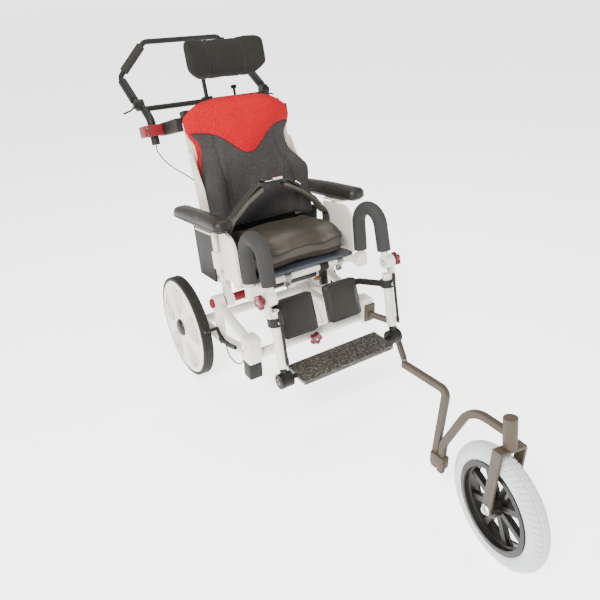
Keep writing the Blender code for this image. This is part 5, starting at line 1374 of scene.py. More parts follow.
def seat_cushion(frame):
    """Crowned cushion with two leg troughs, a rolled front edge, and piping round its foot."""
    half = (SEAT_WIDTH / 2, (SEAT_FRONT + SEAT_REAR) / 2, SEAT_THICKNESS / 2)
    middle = Vector((0, (SEAT_REAR - SEAT_FRONT) / 2, SEAT_BOTTOM + half[2]))

    def shape(u, v, w):
        place = rounded(u, v, w, half, 0.034)
        top = smooth(w)
        share = place.x / half[0]
        forward = smooth((0.55 - place.y / half[1]) / 1.2)
        crown = 0.010 * (1 - share * share) * (1 - v * v)
        trough = -0.011 * exp(-((abs(place.x) - 0.070) / 0.034) ** 2) * forward
        bolster = 0.006 * exp(-((abs(place.x) - 0.122) / 0.026) ** 2)
        roll = -0.016 * smooth((-place.y / half[1] - 0.40) / 0.60)
        pinch = 1 - 0.022 * (1 - w * w)
        return middle + Vector((place.x * pinch, place.y * pinch,
                                place.z + (crown + trough + bolster + roll - 0.004) * top))

    def hold(place):
        return Vector((place.x, min(place.y, SEAT_REAR), max(place.z, SEAT_BOTTOM)))

    def seams(place, normal):
        if normal.z >= 0.8:
            return 0.0
        height = place.z - SEAT_BOTTOM
        return max(groove(height - 0.014, 0.0016, 0.0030), groove(height - 0.050, 0.0011, 0.0026))

    def trim(piece):
        reach = (half[0] + 0.004, half[1] + 0.004, 0.040, middle.y)
        low, high, stitches = (ring_route(*reach, SEAT_BOTTOM + height)
                               for height in (0.014, 0.050, 0.0545))
        piping(low, piece, 0.0017, "seat_piping_0", "seat_cushion", frame)
        piping(high, piece, 0.0013, "seat_piping_1", "seat_cushion", frame)
        stitch_row(seated(stitches, piece), "seat_stitches", "thread", "seat_cushion", frame)

    soft(soft_block((10, 8, 4), shape), "seat_cushion", "seat_cloth", frame, cap=0.008,
         shrink=0.004, hold=hold, seams=seams, trim=trim)


def ring_route(half_x, half_y, corner, y=0.0, z=0.0, step=0.005):
    """A level loop of points round a rectangle with round corners."""
    corners = [(half_x, y + half_y), (-half_x, y + half_y), (-half_x, y - half_y),
               (half_x, y - half_y)]
    start = Vector((0, y + half_y, z))
    loop = bent([start] + [Vector((a, b, z)) for a, b in corners[1:] + corners[:1]] + [start],
                corner)
    return spaced(loop, step)[:-1]


def spaced(route, step):
    """A route with its stretches divided into about equal steps."""
    dense = []
    for a, b in zip(route, route[1:]):
        count = max(1, round((b - a).length / step))
        dense += [a.lerp(b, k / count) for k in range(count)]
    return dense + [route[-1]]


def side_guard(side, frame):
    """White panel beside the seat with the armrest's socket on its outer face."""
    sign = SIDES[side]
    bottom = SHELF_TOP + GAP
    corner = 0.045
    outline = [(-GUARD_REAR, bottom), (-GUARD_REAR, GUARD_TOP)]
    outline += arc((-GUARD_FRONT + corner, GUARD_TOP - corner), corner, 90, 180)
    outline.append((-GUARD_FRONT, bottom))
    x0 = sign * GUARD_INSIDE
    x1 = sign * (GUARD_INSIDE + GUARD_THICKNESS)
    panel = extruded(outline, x0, x1)
    post_x = post_middle(sign)
    wall = 0.004
    inner_edge = x1 - sign * 0.002
    outer_edge = post_x + sign * (ARM_POST_THICKNESS / 2 + wall)
    half = ARM_POST_WIDTH / 2 + wall
    socket = box((inner_edge, -ARM_POST_BACK - half, 0.112),
                 (outer_edge, -ARM_POST_BACK + half, 0.158), bevel=0.0015)
    thick, deep = ARM_POST_THICKNESS / 2 + RUN, ARM_POST_WIDTH / 2 + RUN
    slot = box((post_x - thick, -ARM_POST_BACK - deep, 0.10),
               (post_x + thick, -ARM_POST_BACK + deep, 0.17))
    finish(cut(union(panel, socket), slot), "side_guard_" + side, "white", frame)


def post_middle(sign):
    """Cross position of an armrest post."""
    return sign * (GUARD_INSIDE + GUARD_THICKNESS + 0.004 + ARM_POST_THICKNESS / 2)


def armrest(side, frame):
    """Flat post with a bearing plate, and the padded rest on it."""
    sign = SIDES[side]
    x = post_middle(sign)
    pad_x = sign * ARM_PAD_SPREAD / 2
    pad_bottom = ARM_PAD_TOP - ARM_PAD_THICKNESS
    plate_top = pad_bottom - GAP
    seam_rise = 0.0085
    half = ARM_POST_WIDTH / 2
    post = box((x - ARM_POST_THICKNESS / 2, -ARM_POST_BACK - half, 0.094),
               (x + ARM_POST_THICKNESS / 2, -ARM_POST_BACK + half, plate_top - 0.002))
    plate = box((pad_x - 0.018, -ARM_POST_BACK - 0.045, plate_top - 0.005),
                (pad_x + 0.018, -ARM_POST_BACK + 0.045, plate_top), bevel=0.0015)
    finish(union(plate, post), "armrest_post_" + side, "cream", frame)
    size = (ARM_PAD_WIDTH / 2, ARM_PAD_LENGTH / 2, ARM_PAD_THICKNESS / 2)
    middle = Vector((pad_x, ARM_PAD_LENGTH / 2 - ARM_PAD_FRONT, ARM_PAD_TOP - size[2]))

    def shape(u, v, w):
        place = rounded(u, v, w, size, 0.0190)
        width = sqrt(max(0.0, 1 - 0.35 * abs(v) ** 6))
        return middle + Vector((place.x * width, place.y, place.z))

    def hold(place):
        return Vector((place.x, place.y, max(place.z, pad_bottom)))

    def seams(place, normal):
        if abs(normal.z) >= 0.95:
            return 0.0
        return groove(place.z - pad_bottom - seam_rise, 0.0014, 0.0026)

    def trim(piece):
        loop = ring_route(size[0] + 0.003, size[1] + 0.003, 0.024, middle.y, pad_bottom + seam_rise)
        loop = [p + Vector((pad_x, 0, 0)) for p in loop]
        piping(loop, piece, 0.0013, "armrest_piping_" + side, "armrest_pad_" + side, frame)
        raised = [p + Vector((0, 0, 0.0048)) for p in loop]
        stitch_row(seated(raised, piece), "armrest_stitches_" + side, "thread",
                   "armrest_pad_" + side, frame)

    soft(soft_block((4, 8, 4), shape), "armrest_pad_" + side, "black_cloth", frame, cap=0.005,
         shrink=0.003, voxel=0.004, hold=hold, seams=seams, fill=0.9, trim=trim)
    for number, y in enumerate((-ARM_POST_BACK - 0.033, -ARM_POST_BACK + 0.033)):
        bolt((pad_x, y, plate_top - 0.005), (0, 0, -1), 0.0035, f"armrest_screw_{number}_{side}",
             "dark_steel", "armrest_post_" + side, frame)


def lap_belt(frame):
    """Hip belt in an arch over the seat: webbing, two sewn padded bands, a buckle on its crest."""
    foot_x, belt_y = SEAT_WIDTH / 2 + 0.0085, -0.052
    low = SHELF_TOP + GAP
    crest = SEAT_BOTTOM + SEAT_THICKNESS + 0.130
    bend_drop, buckle_drop, thickness = 0.036, 0.007, 0.003
    half = [(foot_x, belt_y, low), (foot_x, belt_y, crest - 0.118),
            (foot_x - 0.036, belt_y, crest - 0.070), (0.084, belt_y, crest - bend_drop),
            (0.044, belt_y, crest - buckle_drop)]
    webbing = bar(half + [(-x, y, z) for x, y, z in reversed(half)], 0.030, thickness, bend=0.03,
                  width_along=(0, 1, 0))
    finish(webbing, "lap_belt", "webbing", frame, edge=0.0009)
    inset = 0.0082
    arch_centre = Vector((0, belt_y, crest - 0.13))
    for side, sign in SIDES.items():
        ends = [(foot_x - 0.004, crest - 0.122), (foot_x - 0.029, crest - 0.084),
                (0.083, crest - bend_drop - inset), (0.030, crest - 0.0075 - inset)]
        route = bent([Vector((sign * x, belt_y, z)) for x, z in ends], 0.05)
        band = padded_band(route, 0.046 if sign < 0 else 0.038, 0.0125)
        detail(band, "belt_band_" + side, "band", "lap_belt", frame)
        for number, offset in enumerate((-0.0115, 0.0115)):
            row = [p + Vector((0, offset, 0)) for p in spaced(route[2:-2], 0.004)]
            row = [p + (p - arch_centre).normalized() * 0.0083 for p in row]
            stitch_row(row, f"belt_stitches_{number}_{side}", "thread", "lap_belt", frame)
    middle = Vector((0, belt_y, crest - buckle_drop + thickness / 2 + GAP))
    finish(moved(rounded_plate(0.056, 0.040, 0.004, 0.007), middle), "belt_buckle", "black_plastic",
           frame)
    receiver = rounded_plate(0.030, 0.034, 0.0088, 0.005)
    button = rounded_plate(0.017, 0.020, 0.0050, 0.003)
    tongue = cut(rounded_plate(0.024, 0.036, 0.0024, 0.004),
                 box((-0.0065, -0.013, -0.01), (-0.0015, 0.013, 0.01)))
    for piece, name, surface, x, z, edge in (
            (button, "buckle_button", "red_plastic", 0.016, 0.0060, 0.0006),
            (receiver, "buckle_receiver", "steel", 0.012, 0.0018, 0.0006),
            (tongue, "buckle_tongue", "steel", -0.0155, 0.0042, 0.0005)):
        detail(moved(piece, middle + Vector((x, 0, z))), name, surface, "belt_buckle", frame, edge)
    slots = [box((sign * 0.0018, -0.0155, -0.01), (sign * 0.006, 0.0155, 0.01)) for sign in (-1, 1)]
    slide = cut(rounded_plate(0.020, 0.038, 0.0030, 0.003), *slots)
    slide.data.transform(Matrix.Rotation(radians(37), 4, "Y"))
    moved(slide, Vector((0.070, belt_y, crest - 0.0215)))
    detail(slide, "belt_slide", "steel", "lap_belt", frame, edge=0.0004)


def rounded_plate(length, width, thickness, corner):
    """A flat plate on its seat, with round corners, centred across."""
    return slab(ring_route(length / 2, width / 2, corner, step=1), (0, 0, thickness))


def padded_band(route, width, thickness):
    """A stuffed band along an upright route: two channels, rounded ends and a bound edge."""
    places = spaced(route, 0.003)
    length = sum((b - a).length for a, b in zip(places, places[1:]))
    around, travelled, rings = 48, 0.0, []
    sideways = Vector((0, 1, 0))
    for k, place in enumerate(places):
        if k:
            travelled += (place - places[k - 1]).length
        along = (places[min(k + 1, len(places) - 1)] - places[max(k - 1, 0)]).normalized()
        outward = sideways.cross(along).normalized()
        if outward.z < 0:
            outward = -outward
        end = min(travelled, length - travelled)
        close = sqrt(max(0.02, 1 - max(0.0, 1 - end / 0.014) ** 2))
        ripple = 1 + 0.05 * sin(travelled * 260)
        ring = []
        for j in range(around):
            wide, tall = squared(2 * pi * j / around, 0.62, 0.80)
            share = wide * close
            channel = 0.34 * exp(-(share / 0.10) ** 2)
            binding = 0.30 * exp(-((abs(share) - 0.86) / 0.07) ** 2)
            ring.append(place + sideways * share * width / 2
                        + outward * tall * thickness / 2 * close * (1 - channel - binding) * ripple)
        rings.append(ring)
    return lofted(rings)


def back_frame(frame):
    """Posts with hinge bosses, side plates, cross bars and the brackets for the push bar."""
    parts = [across(-POST_X, POST_X, 0.0013, lift, 0.008) for lift in (0.130, POST_LENGTH - 0.013)]
    for sign in (1, -1):
        x = sign * POST_X
        parts.append(cylinder((x, 0, 0.008), (x, 0, POST_LENGTH - 0.002), POST_RADIUS, 14))
        parts.append(across(x - 0.0120, x + 0.0128, 0, 0, 0.016, FINE_FACETS))
        parts.append(extruded([(-0.050, -0.012), (0.050, 0.004), (0.030, 0.148), (-0.094, 0.134)],
                              sign * SIDE_PLATE_X, sign * (SIDE_PLATE_X + 0.005)))
        parts.append(box((x, -0.009, 0.066), (sign * (SIDE_PLATE_X + 0.002), 0.009, 0.110)))
        parts.append(box((sign * (POST_X + 0.009), -0.012, CLAMP_CENTRE - 0.017),
                         (sign * CLAMP_INSIDE, PUSH_BACK + 0.018, CLAMP_CENTRE + 0.017),
                         bevel=0.002))
        parts.append(box((x - 0.0150, -0.0150, POST_LENGTH - 0.024),
                         (x + 0.0150, 0.0150, POST_LENGTH), bevel=0.002))
    body = union(*parts)
    body = cut(body, across(-POST_X - 0.02, POST_X + 0.02, 0, 0, AXLE_RADIUS + RUN))
    finish(body, "back_frame", "black", frame)
    half = CUSHION_WIDTH / 2
    plate = box((-half - 0.004, SHELL_FRONT_FACE, SHELL_BOTTOM),
                (half + 0.004, SHELL_BACK_FACE, SHELL_TOP), bevel=0.002)
    flanges = [extruded([(RIB_ROOT, 0.170), (RIB_ROOT, 0.345),
                         (SHELL_FRONT_FACE - 0.016, 0.335), (SHELL_FRONT_FACE - 0.050, 0.240),
                         (SHELL_FRONT_FACE - 0.050, 0.170)],
                        sign * (half + 0.0006), sign * (half + 0.0046)) for sign in (1, -1)]
    finish(union(plate, *flanges), "back_shell", "cream", frame)
    reach, low, high, thick = 0.096, SHELL_BOTTOM + 0.030, SHELL_TOP - 0.022, 0.0020
    spans = [(x - thick, x + thick, low, high) for x in (-reach, -reach / 2, 0.0, reach / 2, reach)]
    spans += [(-reach, reach, z - thick, z + thick) for z in (low, 0.270, high)]
    ribs = [box((x0, RIB_ROOT, z0), (x1, SHELL_BACK_FACE + 0.0016, z1), bevel=0.0007)
            for x0, x1, z0, z1 in spans]
    detail(union(*ribs), "back_shell_ribs", "cream", "back_shell", frame, edge=0.0004)
    for number, (z, x) in enumerate(product((0.200, 0.340), (-0.072, 0.072))):
        bolt((x, SHELL_BACK_FACE, z), (0, 1, 0), 0.0042, f"shell_screw_{number}", "dark_steel",
             "back_shell", frame)


def back_cushion(frame):
    """One contoured back cushion with raised sides, parted along a wavy seam into two covers."""
    half = CUSHION_WIDTH / 2 - 0.0004
    tall = CUSHION_TOP - CUSHION_BOTTOM
    shoulder = 0.044

    def shape(u, v, w):
        high = (w + 1) / 2
        side = sin(pi / 2 * u)
        front = (1 - v) / 2
        fade = smooth((0.65 - high) / 0.29)
        edge = smooth((abs(side) - 0.5) / 0.38)
        centre_depth = 0.062 - 0.034 * high
        edge_depth = 0.024 + 0.072 * fade
        depth = centre_depth + (edge_depth - centre_depth) * edge - 0.006 * high ** 8
        rise = smooth((high - 0.70) / 0.15)
        width = half - front * (0.004 + 0.012 * (1 - fade) * (1 - rise)) + CUSHION_FLARE * rise
        drop = shoulder * high ** 2 * side ** 4 + 0.006 * front * high ** 8
        return Vector((side * width, CUSHION_BACK_FACE - front * depth,
                       CUSHION_BOTTOM + tall * high - drop))

    def seam_height(x):
        return SEAM_SIDES - (SEAM_SIDES - SEAM_DIP) * exp(-((x / half) / 0.44) ** 2)

    def above_seam(shift):
        """A cutter for all that lies above the seam."""
        count, reach, high = 88, half + CUSHION_FLARE + 0.02, CUSHION_TOP + 0.05
        steps = [-reach + 2 * reach * k / count for k in range(count + 1)]
        wave = [(x, seam_height(x) + shift) for x in steps] + [(reach, high), (-reach, high)]
        return slab([(x, -0.2, z) for x, z in wave], (0, 0.25, 0))

    def hold(place):
        return Vector((place.x, min(place.y, CUSHION_BACK_FACE), place.z))

    def seams(place, normal):
        slope = (seam_height(place.x + 0.001) - seam_height(place.x - 0.001)) / 0.002
        distance = (place.z - seam_height(place.x)) / sqrt(1 + slope * slope)
        depth = groove(distance, 0.0022, 0.0034)
        if place.z < SEAM_SIDES - 0.01:
            wing = abs(place.x) - 0.098 + 0.05 * (place.z - 0.2)
            depth = max(depth, groove(wing, 0.0050, 0.0060) * smooth((0.40 - place.z) / 0.05))
        return depth if place.y < CUSHION_BACK_FACE - 0.004 else 0.0

    def split(filled):
        copy = object_from(filled.data.copy())
        upper = boolean(copy, [above_seam(GAP)], "INTERSECT", "MANIFOLD")
        lower = boolean(filled, [above_seam(0)], "DIFFERENCE", "MANIFOLD")
        return [(upper, "back_cushion_upper", "red_cloth"),
                (lower, "back_cushion_lower", "dark_cloth")]

    def trim(piece):
        skin = skin_of(piece)

        def row(shift, lift):
            steps = [(half + 0.004) * (k / 70 - 1) for k in range(141)]
            spots = [(x, seam_height(x) + shift) for x in steps]
            return seen_from_front(skin, spots, 0.25, lift)

        stitch_row(row(-0.0042, 0.0001), "back_stitches_0", "thread", "back_cushion_lower", frame)
        cord = rod(row(0.0, 0.0002), 0.0011, resolution=2)
        detail(cord, "back_seam_cord", "piping", "back_cushion_lower", frame)
        stitch_row(row(0.0046, 0.0001), "back_stitches_2", "red_thread", "back_cushion_lower",
                   frame)

    def gussets(part, name):
        """The lower cover's side band, near the shell, is red."""
        if name == "back_cushion_lower":
            to_local = frame.inverted()
            part.data.materials.append(PAINT["red_cloth"])
            for face in part.data.polygons:
                place = to_local @ face.center
                if place.y > CUSHION_BACK_FACE - 0.020 and abs(place.x) > half - 0.030:
                    face.material_index = 1

    soft(soft_block((12, 3, 11), shape), "back_cushion", None, frame, cap=0.007, shrink=0.0025,
         voxel=0.0045, hold=hold, dress=split, seams=seams, trim=trim, after=gussets)
    cushion_tail(frame)


def cushion_tail(frame):
    """The padded flap of the lower cover that closes the gap behind the seat cushion."""
    half = (0.124, 0.0045, 0.040)

    def shape(u, v, w):
        place = rounded(u, v, w, half, 0.004)
        quilt = 1 + 0.32 * cos(6 * pi * place.x / half[0])
        return Vector((place.x, CUSHION_BACK_FACE - 0.009 + place.y * quilt,
                       CUSHION_BOTTOM - 0.026 + place.z))

    flap = soft_block((14, 2, 6), shape)
    modify(flap, "SUBSURF", levels=1, render_levels=1)
    detail(baked(flap), "back_cushion_tail", "dark_cloth", "back_cushion_lower", frame)


def push_assembly(frame):
    """Lower tubes and cross bar, red clamps, hinged upper handle with grips, and release levers.

    Gives the middle of the cross bar."""
    tube_x = PUSH_X - 0.006
    handle_x = PUSH_X + 0.006
    hinge = Vector((0, HINGE_BACK, HINGE_LIFT))
    low_corner = Vector((0, PUSH_BACK, CLAMP_CENTRE + 0.029))
    low_dir = (low_corner - hinge).normalized()
    ear_reach, ear_root, ear_bar = 0.024, 0.008, (0.0096, 0.020)
    tube_end = hinge + low_dir * ear_reach
    corner = Vector((0, HANDLE_CORNER_BACK, HANDLE_CORNER_LIFT))
    high_dir = (corner - hinge).normalized()
    bar_start = hinge + high_dir * ear_reach
    cross = low_corner.lerp(hinge, 0.72)
    base_parts = [across(-tube_x, tube_x, cross.y, cross.z, 0.0075),
                  box((-0.014, cross.y - 0.013, cross.z - 0.012),
                      (0.014, cross.y + 0.013, cross.z + 0.012), bevel=0.002)]
    handle_parts = []
    for sign in (1, -1):
        x = sign * tube_x
        base_parts.append(rod([(x, PUSH_BACK, PUSH_LOW_END), (x, low_corner.y, low_corner.z),
                               (x, tube_end.y, tube_end.z)], PUSH_TUBE_RADIUS, bend=0.03))
        lug_out = sign * (PUSH_X - GAP / 2)
        lug_in = lug_out - sign * HINGE_EAR
        base_parts.append(across(lug_in, lug_out, hinge.y, hinge.z, HINGE_RADIUS, FINE_FACETS))
        base_parts.append(bar([((lug_in + lug_out) / 2, hinge.y, hinge.z),
                               ((lug_in + lug_out) / 2, tube_end.y + low_dir.y * ear_root,
                                tube_end.z + low_dir.z * ear_root)], *ear_bar))
        ear_in = sign * (PUSH_X + GAP / 2)
        ear_out = ear_in + sign * HINGE_EAR
        handle_parts.append(across(ear_in, ear_out, hinge.y, hinge.z, HINGE_RADIUS, FINE_FACETS))
        handle_parts.append(bar([((ear_in + ear_out) / 2, hinge.y, hinge.z),
                                 ((ear_in + ear_out) / 2, bar_start.y + high_dir.y * ear_root,
                                  bar_start.z + high_dir.z * ear_root)], *ear_bar))
        sleeve_end = corner - high_dir * 0.022
        handle_parts.append(cylinder((sign * handle_x, bar_start.y, bar_start.z),
                                     (sign * handle_x, sleeve_end.y, sleeve_end.z), 0.0125))
    bore = cylinder((0, cross.y, cross.z - 0.03), (0, cross.y, cross.z + 0.03), STEM_RADIUS + RUN)
    finish(cut(union(*base_parts), bore), "push_base", "black", frame)
    top_x = HANDLE_TOP_SPREAD / 2
    route = [(-handle_x, bar_start.y, bar_start.z), (-handle_x, corner.y, corner.z),
             (-top_x, HANDLE_TOP_BACK, HANDLE_TOP_LIFT), (top_x, HANDLE_TOP_BACK, HANDLE_TOP_LIFT),
             (handle_x, corner.y, corner.z), (handle_x, bar_start.y, bar_start.z)]
    hoop = rod(route, HANDLE_RADIUS, bend=0.022)
    finish(union(hoop, *handle_parts), "push_bar", "black", frame)
    for side, sign in SIDES.items():
        first = Vector((sign * handle_x, corner.y, corner.z))
        last = Vector((sign * top_x, HANDLE_TOP_BACK, HANDLE_TOP_LIFT))
        along = (last - first).normalized()
        start, end = first + along * 0.020, last - along * 0.014
        grip = cylinder(start, end, GRIP_RADIUS)
        bore = cylinder(start - along * 0.01, end + along * 0.01, HANDLE_RADIUS + GAP)
        sleeve = finish(cut(grip, bore), "push_grip_" + side, "foam", frame, edge=0.0016)
        block_out = sign * (PUSH_X + 0.026)
        block = box((sign * (CLAMP_INSIDE + GAP), PUSH_BACK - 0.024,
                     CLAMP_CENTRE - CLAMP_BLOCK_HEIGHT / 2),
                    (block_out, PUSH_BACK + 0.024, CLAMP_CENTRE + CLAMP_BLOCK_HEIGHT / 2),
                    bevel=0.003)
        hole = cylinder((sign * tube_x, PUSH_BACK, CLAMP_CENTRE - 0.03),
                        (sign * tube_x, PUSH_BACK, CLAMP_CENTRE + 0.03), PUSH_TUBE_RADIUS + GAP,
                        FINE_FACETS)
        finish(cut(block, hole), "push_clamp_" + side, "red_metal", frame, edge=0.0010)
        for number, lift in enumerate((-0.008, 0.008)):
            bolt((block_out - sign * 0.010, PUSH_BACK - 0.024, CLAMP_CENTRE + lift), (0, -1, 0),
                 0.0032, f"clamp_bolt_{number}_{side}", "dark_steel", "push_clamp_" + side, frame)
        seat_x = sign * (PUSH_X + GAP / 2 + HINGE_EAR + GAP)
        lever_face = seat_x + sign * 0.007
        bolt((lever_face, hinge.y, hinge.z), (sign, 0, 0), 0.0040, "hinge_bolt_" + side,
             "dark_steel", "push_lever_" + side, frame)
        lever_hub = across(seat_x, lever_face, hinge.y, hinge.z, 0.009)
        lever_x = seat_x + sign * 0.0045
        lever_arm = rod([(lever_x, hinge.y, hinge.z),
                         (lever_x + sign * 0.008, hinge.y + 0.012, hinge.z - 0.010),
                         (lever_x + sign * 0.030, hinge.y + 0.020, hinge.z - 0.016)], 0.0025,
                        bend=0.006, resolution=2)
        finish(union(lever_hub, lever_arm), "push_lever_" + side, "black", frame)
    return cross


def cross_bar_knob(cross, frame):
    """Clamping knob that turns on its screw above the cross bar."""
    x, seat = 0.093, cross.z + 0.0075 + GAP
    knob = union(cylinder((x, cross.y, seat), (x, cross.y, seat + 0.020), 0.004),
                 cylinder((x, cross.y, seat + 0.018), (x, cross.y, seat + 0.028), 0.009))
    finish(knob, "cross_bar_knob", "black", frame)


def headrest(cross, frame):
    """Stem that slides in the cross bar's block, and the curved pad hinged on its end."""
    pad_back = HEAD_PAD_BACK + HEAD_PAD_THICKNESS / 2
    barrel_radius = 0.009
    barrel_y = pad_back + barrel_radius + GAP
    stem = rod([(0, cross.y, cross.z - 0.055), (0, cross.y, HEAD_PAD_LIFT),
                (0, barrel_y, HEAD_PAD_LIFT)], STEM_RADIUS, bend=0.022)
    barrel = across(-0.020, 0.020, barrel_y, HEAD_PAD_LIFT, barrel_radius)
    finish(union(stem, barrel), "head_stem", "black", frame)
    size = (HEAD_PAD_WIDTH / 2, HEAD_PAD_THICKNESS / 2, HEAD_PAD_HEIGHT / 2)
    middle = Vector((0, HEAD_PAD_BACK, HEAD_PAD_LIFT))

    def shape(u, v, w):
        place = rounded(u, v, w, size, 0.022)
        share = place.x / size[0]
        forward = 0.034 * max(0.0, abs(share) - 0.25) ** 1.6 / 0.75 ** 1.6
        corner = smooth((abs(share) - 0.62) / 0.38)
        height = place.z * (1 - (0.34 if place.z < 0 else 0.12) * corner)
        swell = -0.005 * (1 - w * w) * (1 - v) / 2
        return middle + Vector((place.x, place.y - forward + swell, height))

    def seams(place, normal):
        return groove(abs(place.x) - 0.048, 0.0018, 0.0036)

    def trim(piece):
        skin = skin_of(piece)
        for side, sign in SIDES.items():
            spots = [(sign * 0.0515, HEAD_PAD_LIFT + size[2] * (k / 30 - 1)) for k in range(60)]
            stitch_row(seen_from_front(skin, spots, 0.3, 0.0001), "head_stitches_" + side, "thread",
                       "head_pad", frame)

    soft(soft_block((10, 4, 6), shape), "head_pad", "head_cloth", frame, cap=0.006, shrink=0.004,
         seams=seams, fill=0.85, trim=trim)


def hanger_route(sign, low_rear, low_front):
    """The inverted U of a leg rest hanger, in the seat's frame; its front leg slopes forward."""
    x = sign * LEG_X
    route = [Vector((x, -HANGER_REAR, low_rear))]
    for y, z in arc((-HANGER_REAR - HANGER_BEND, HANGER_STRAIGHT_TOP), HANGER_BEND, 0, 180):
        route.append(Vector((x, y, z)))
    share = (HANGER_STRAIGHT_TOP - low_front) / (HANGER_STRAIGHT_TOP - LEG_PIVOT_LIFT)
    route.append(Vector((x, -HANGER_REAR - 2 * HANGER_BEND - share * HANGER_LEAN, low_front)))
    return route


def leg_hanger(side, frame):
    """Hanger tube with its pivot disc, and the foam pad over its bend."""
    sign = SIDES[side]
    tube = rod(hanger_route(sign, RAIL_LIFT + 0.015 + GAP, LEG_PIVOT_LIFT + 0.006), HANGER_RADIUS)
    disc_out = sign * LEG_DISC_X
    disc = across(sign * (LEG_X - 0.007), disc_out, -HANGER_FRONT, LEG_PIVOT_LIFT, LEG_DISC_RADIUS,
                  FINE_FACETS)
    finish(union(tube, disc), "leg_hanger_" + side, "white", frame)
    pad = rod(hanger_route(sign, 0.104, 0.120), HANGER_PAD_RADIUS)
    hollow = rod(hanger_route(sign, 0.09, 0.100), HANGER_RADIUS + GAP)
    sleeve = finish(cut(pad, hollow), "hanger_pad_" + side, "pad_foam", frame, edge=0.0018)
    bolt((disc_out, -HANGER_FRONT, LEG_PIVOT_LIFT), (-sign, 0, 0), 0.0045, "hanger_pin_" + side,
         "steel", "leg_hanger_" + side,
         frame @ Matrix.Translation((-sign * (2 * HANGER_RADIUS - 0.002), 0, 0)))


def leg_tube(side, frame):
    """Outer leg tube with its pivot disc and the slim rod in front of it."""
    sign = SIDES[side]
    x = sign * LEG_X
    disc_in = sign * (LEG_DISC_X + GAP)
    disc_out = disc_in + sign * 0.0085
    disc = across(disc_in, disc_out, 0, 0, LEG_DISC_RADIUS, FINE_FACETS)
    web = box((disc_in, -0.011, -LEG_TUBE_TOP - 0.014), (disc_out, 0.011, -0.004))
    foot_of_web = box((sign * (LEG_X + 0.004), -0.009, -LEG_TUBE_TOP - 0.013),
                      (disc_out, 0.009, -LEG_TUBE_TOP - 0.001))
    tube = cylinder((x, 0, -LEG_TUBE_TOP), (x, 0, -LEG_TUBE_BOTTOM), LEG_TUBE_RADIUS)
    strut_y, tie_heights = -0.0270, (-0.036, -0.150)
    collars = [cylinder((x, strut_y, z - 0.006), (x, strut_y, z + 0.006), 0.0046, 24)
               for z in tie_heights]
    strut = union(rod([(x, strut_y, -0.026), (x, strut_y, -0.160)], 0.0036, resolution=2), *collars)
    ties = [rod([(x, 0, z), (x, strut_y, z)], 0.0033, resolution=2) for z in tie_heights]
    body = union(tube, foot_of_web, web, disc, *ties)
    bore = cylinder((x, 0, -LEG_TUBE_TOP + 0.01), (x, 0, -LEG_TUBE_BOTTOM - 0.01),
                    LEG_INNER_RADIUS + RUN)
    finish(cut(body, bore), "leg_tube_" + side, "white", frame)
    detail(strut, "leg_strut_" + side, "black", "leg_tube_" + side, frame, edge=0.0006)
    star_knob((disc_out + sign * GAP, 0, 0), (sign, 0, 0), "legrest_knob_" + side, frame)


def tread_studs(half, thick):
    """Staggered low studs on the foot plate's top."""
    bm = bmesh.new()
    top = -FOOT_BAR_DROP + thick
    rows, pitch = 8, 0.0092
    row_pitch = (FOOTPLATE_FRONT + FOOTPLATE_REAR - 0.017) / (rows - 1)
    for row in range(rows):
        y = -FOOTPLATE_FRONT + 0.0085 + row * row_pitch
        count = int((2 * half - 0.022) / pitch)
        for k in range(count):
            x = -half + 0.013 + k * pitch + (pitch / 2 if row % 2 else 0)
            turn = Matrix.Rotation(radians(45 if (k + row) % 2 else -45), 4, "Z")
            bmesh.ops.create_uvsphere(bm, u_segments=10, v_segments=6, radius=1.0,
                                      matrix=Matrix.Translation((x, y, top - 0.0002)) @ turn
                                      @ Matrix.Diagonal((0.0044, 0.0019, 0.0013, 1)))
    return object_from_bmesh(bm)


def foot_rest(frame):
    """Inner leg tubes joined by the hinge bar, and the footplate that turns on it."""
    parts = []
    for sign in (1, -1):
        x = sign * LEG_X
        parts.append(cylinder((x, 0, -LEG_INNER_TOP), (x, 0, -FOOT_BAR_DROP), LEG_INNER_RADIUS))
        parts.append(across(x - 0.017, x + 0.017, 0, -FOOT_BAR_DROP, KNUCKLE_RADIUS, FINE_FACETS))
    parts.append(across(-LEG_X, LEG_X, 0, -FOOT_BAR_DROP, FOOT_BAR_RADIUS))
    finish(union(*parts), "footrest_frame", "black", frame)
    half = FOOTPLATE_WIDTH / 2
    thick = FOOTPLATE_THICKNESS / 2
    plate = box((-half, -FOOTPLATE_FRONT, -FOOT_BAR_DROP - thick),
                (half, FOOTPLATE_REAR, -FOOT_BAR_DROP + thick), bevel=0.004)
    bore = across(-half - 0.01, half + 0.01, 0, -FOOT_BAR_DROP, FOOT_BAR_RADIUS + RUN)
    level = Vector((0, 0, -FOOT_BAR_DROP))
    turned_by(plate, LEG_ANGLE + SEAT_TILT, "X", level)
    finish(cut(plate, bore), "footplate", "tread", frame)
    studs = turned_by(tread_studs(half, thick), LEG_ANGLE + SEAT_TILT, "X", level)
    detail(studs, "footplate_studs", "tread", "footplate", frame)
    for side, sign in SIDES.items():
        x = sign * (LEG_X + 0.017)
        bolt((x, 0, -FOOT_BAR_DROP), (sign, 0, 0), 0.0060, "knuckle_bolt_" + side, "dark_steel",
             "footrest_frame", frame)
        for number, inset in enumerate((0.0035, 0.0085, 0.0255, 0.0305)):
            ring = turned([(KNUCKLE_RADIUS - 0.0006, -0.0012), (KNUCKLE_RADIUS + 0.0007, -0.0008),
                           (KNUCKLE_RADIUS + 0.0007, 0.0008), (KNUCKLE_RADIUS - 0.0006, 0.0012)],
                          64)
            moved(ring, (x - sign * inset, 0, -FOOT_BAR_DROP))
            detail(ring, f"knuckle_rib_{number}_{side}", "black_plastic", "footrest_frame", frame)


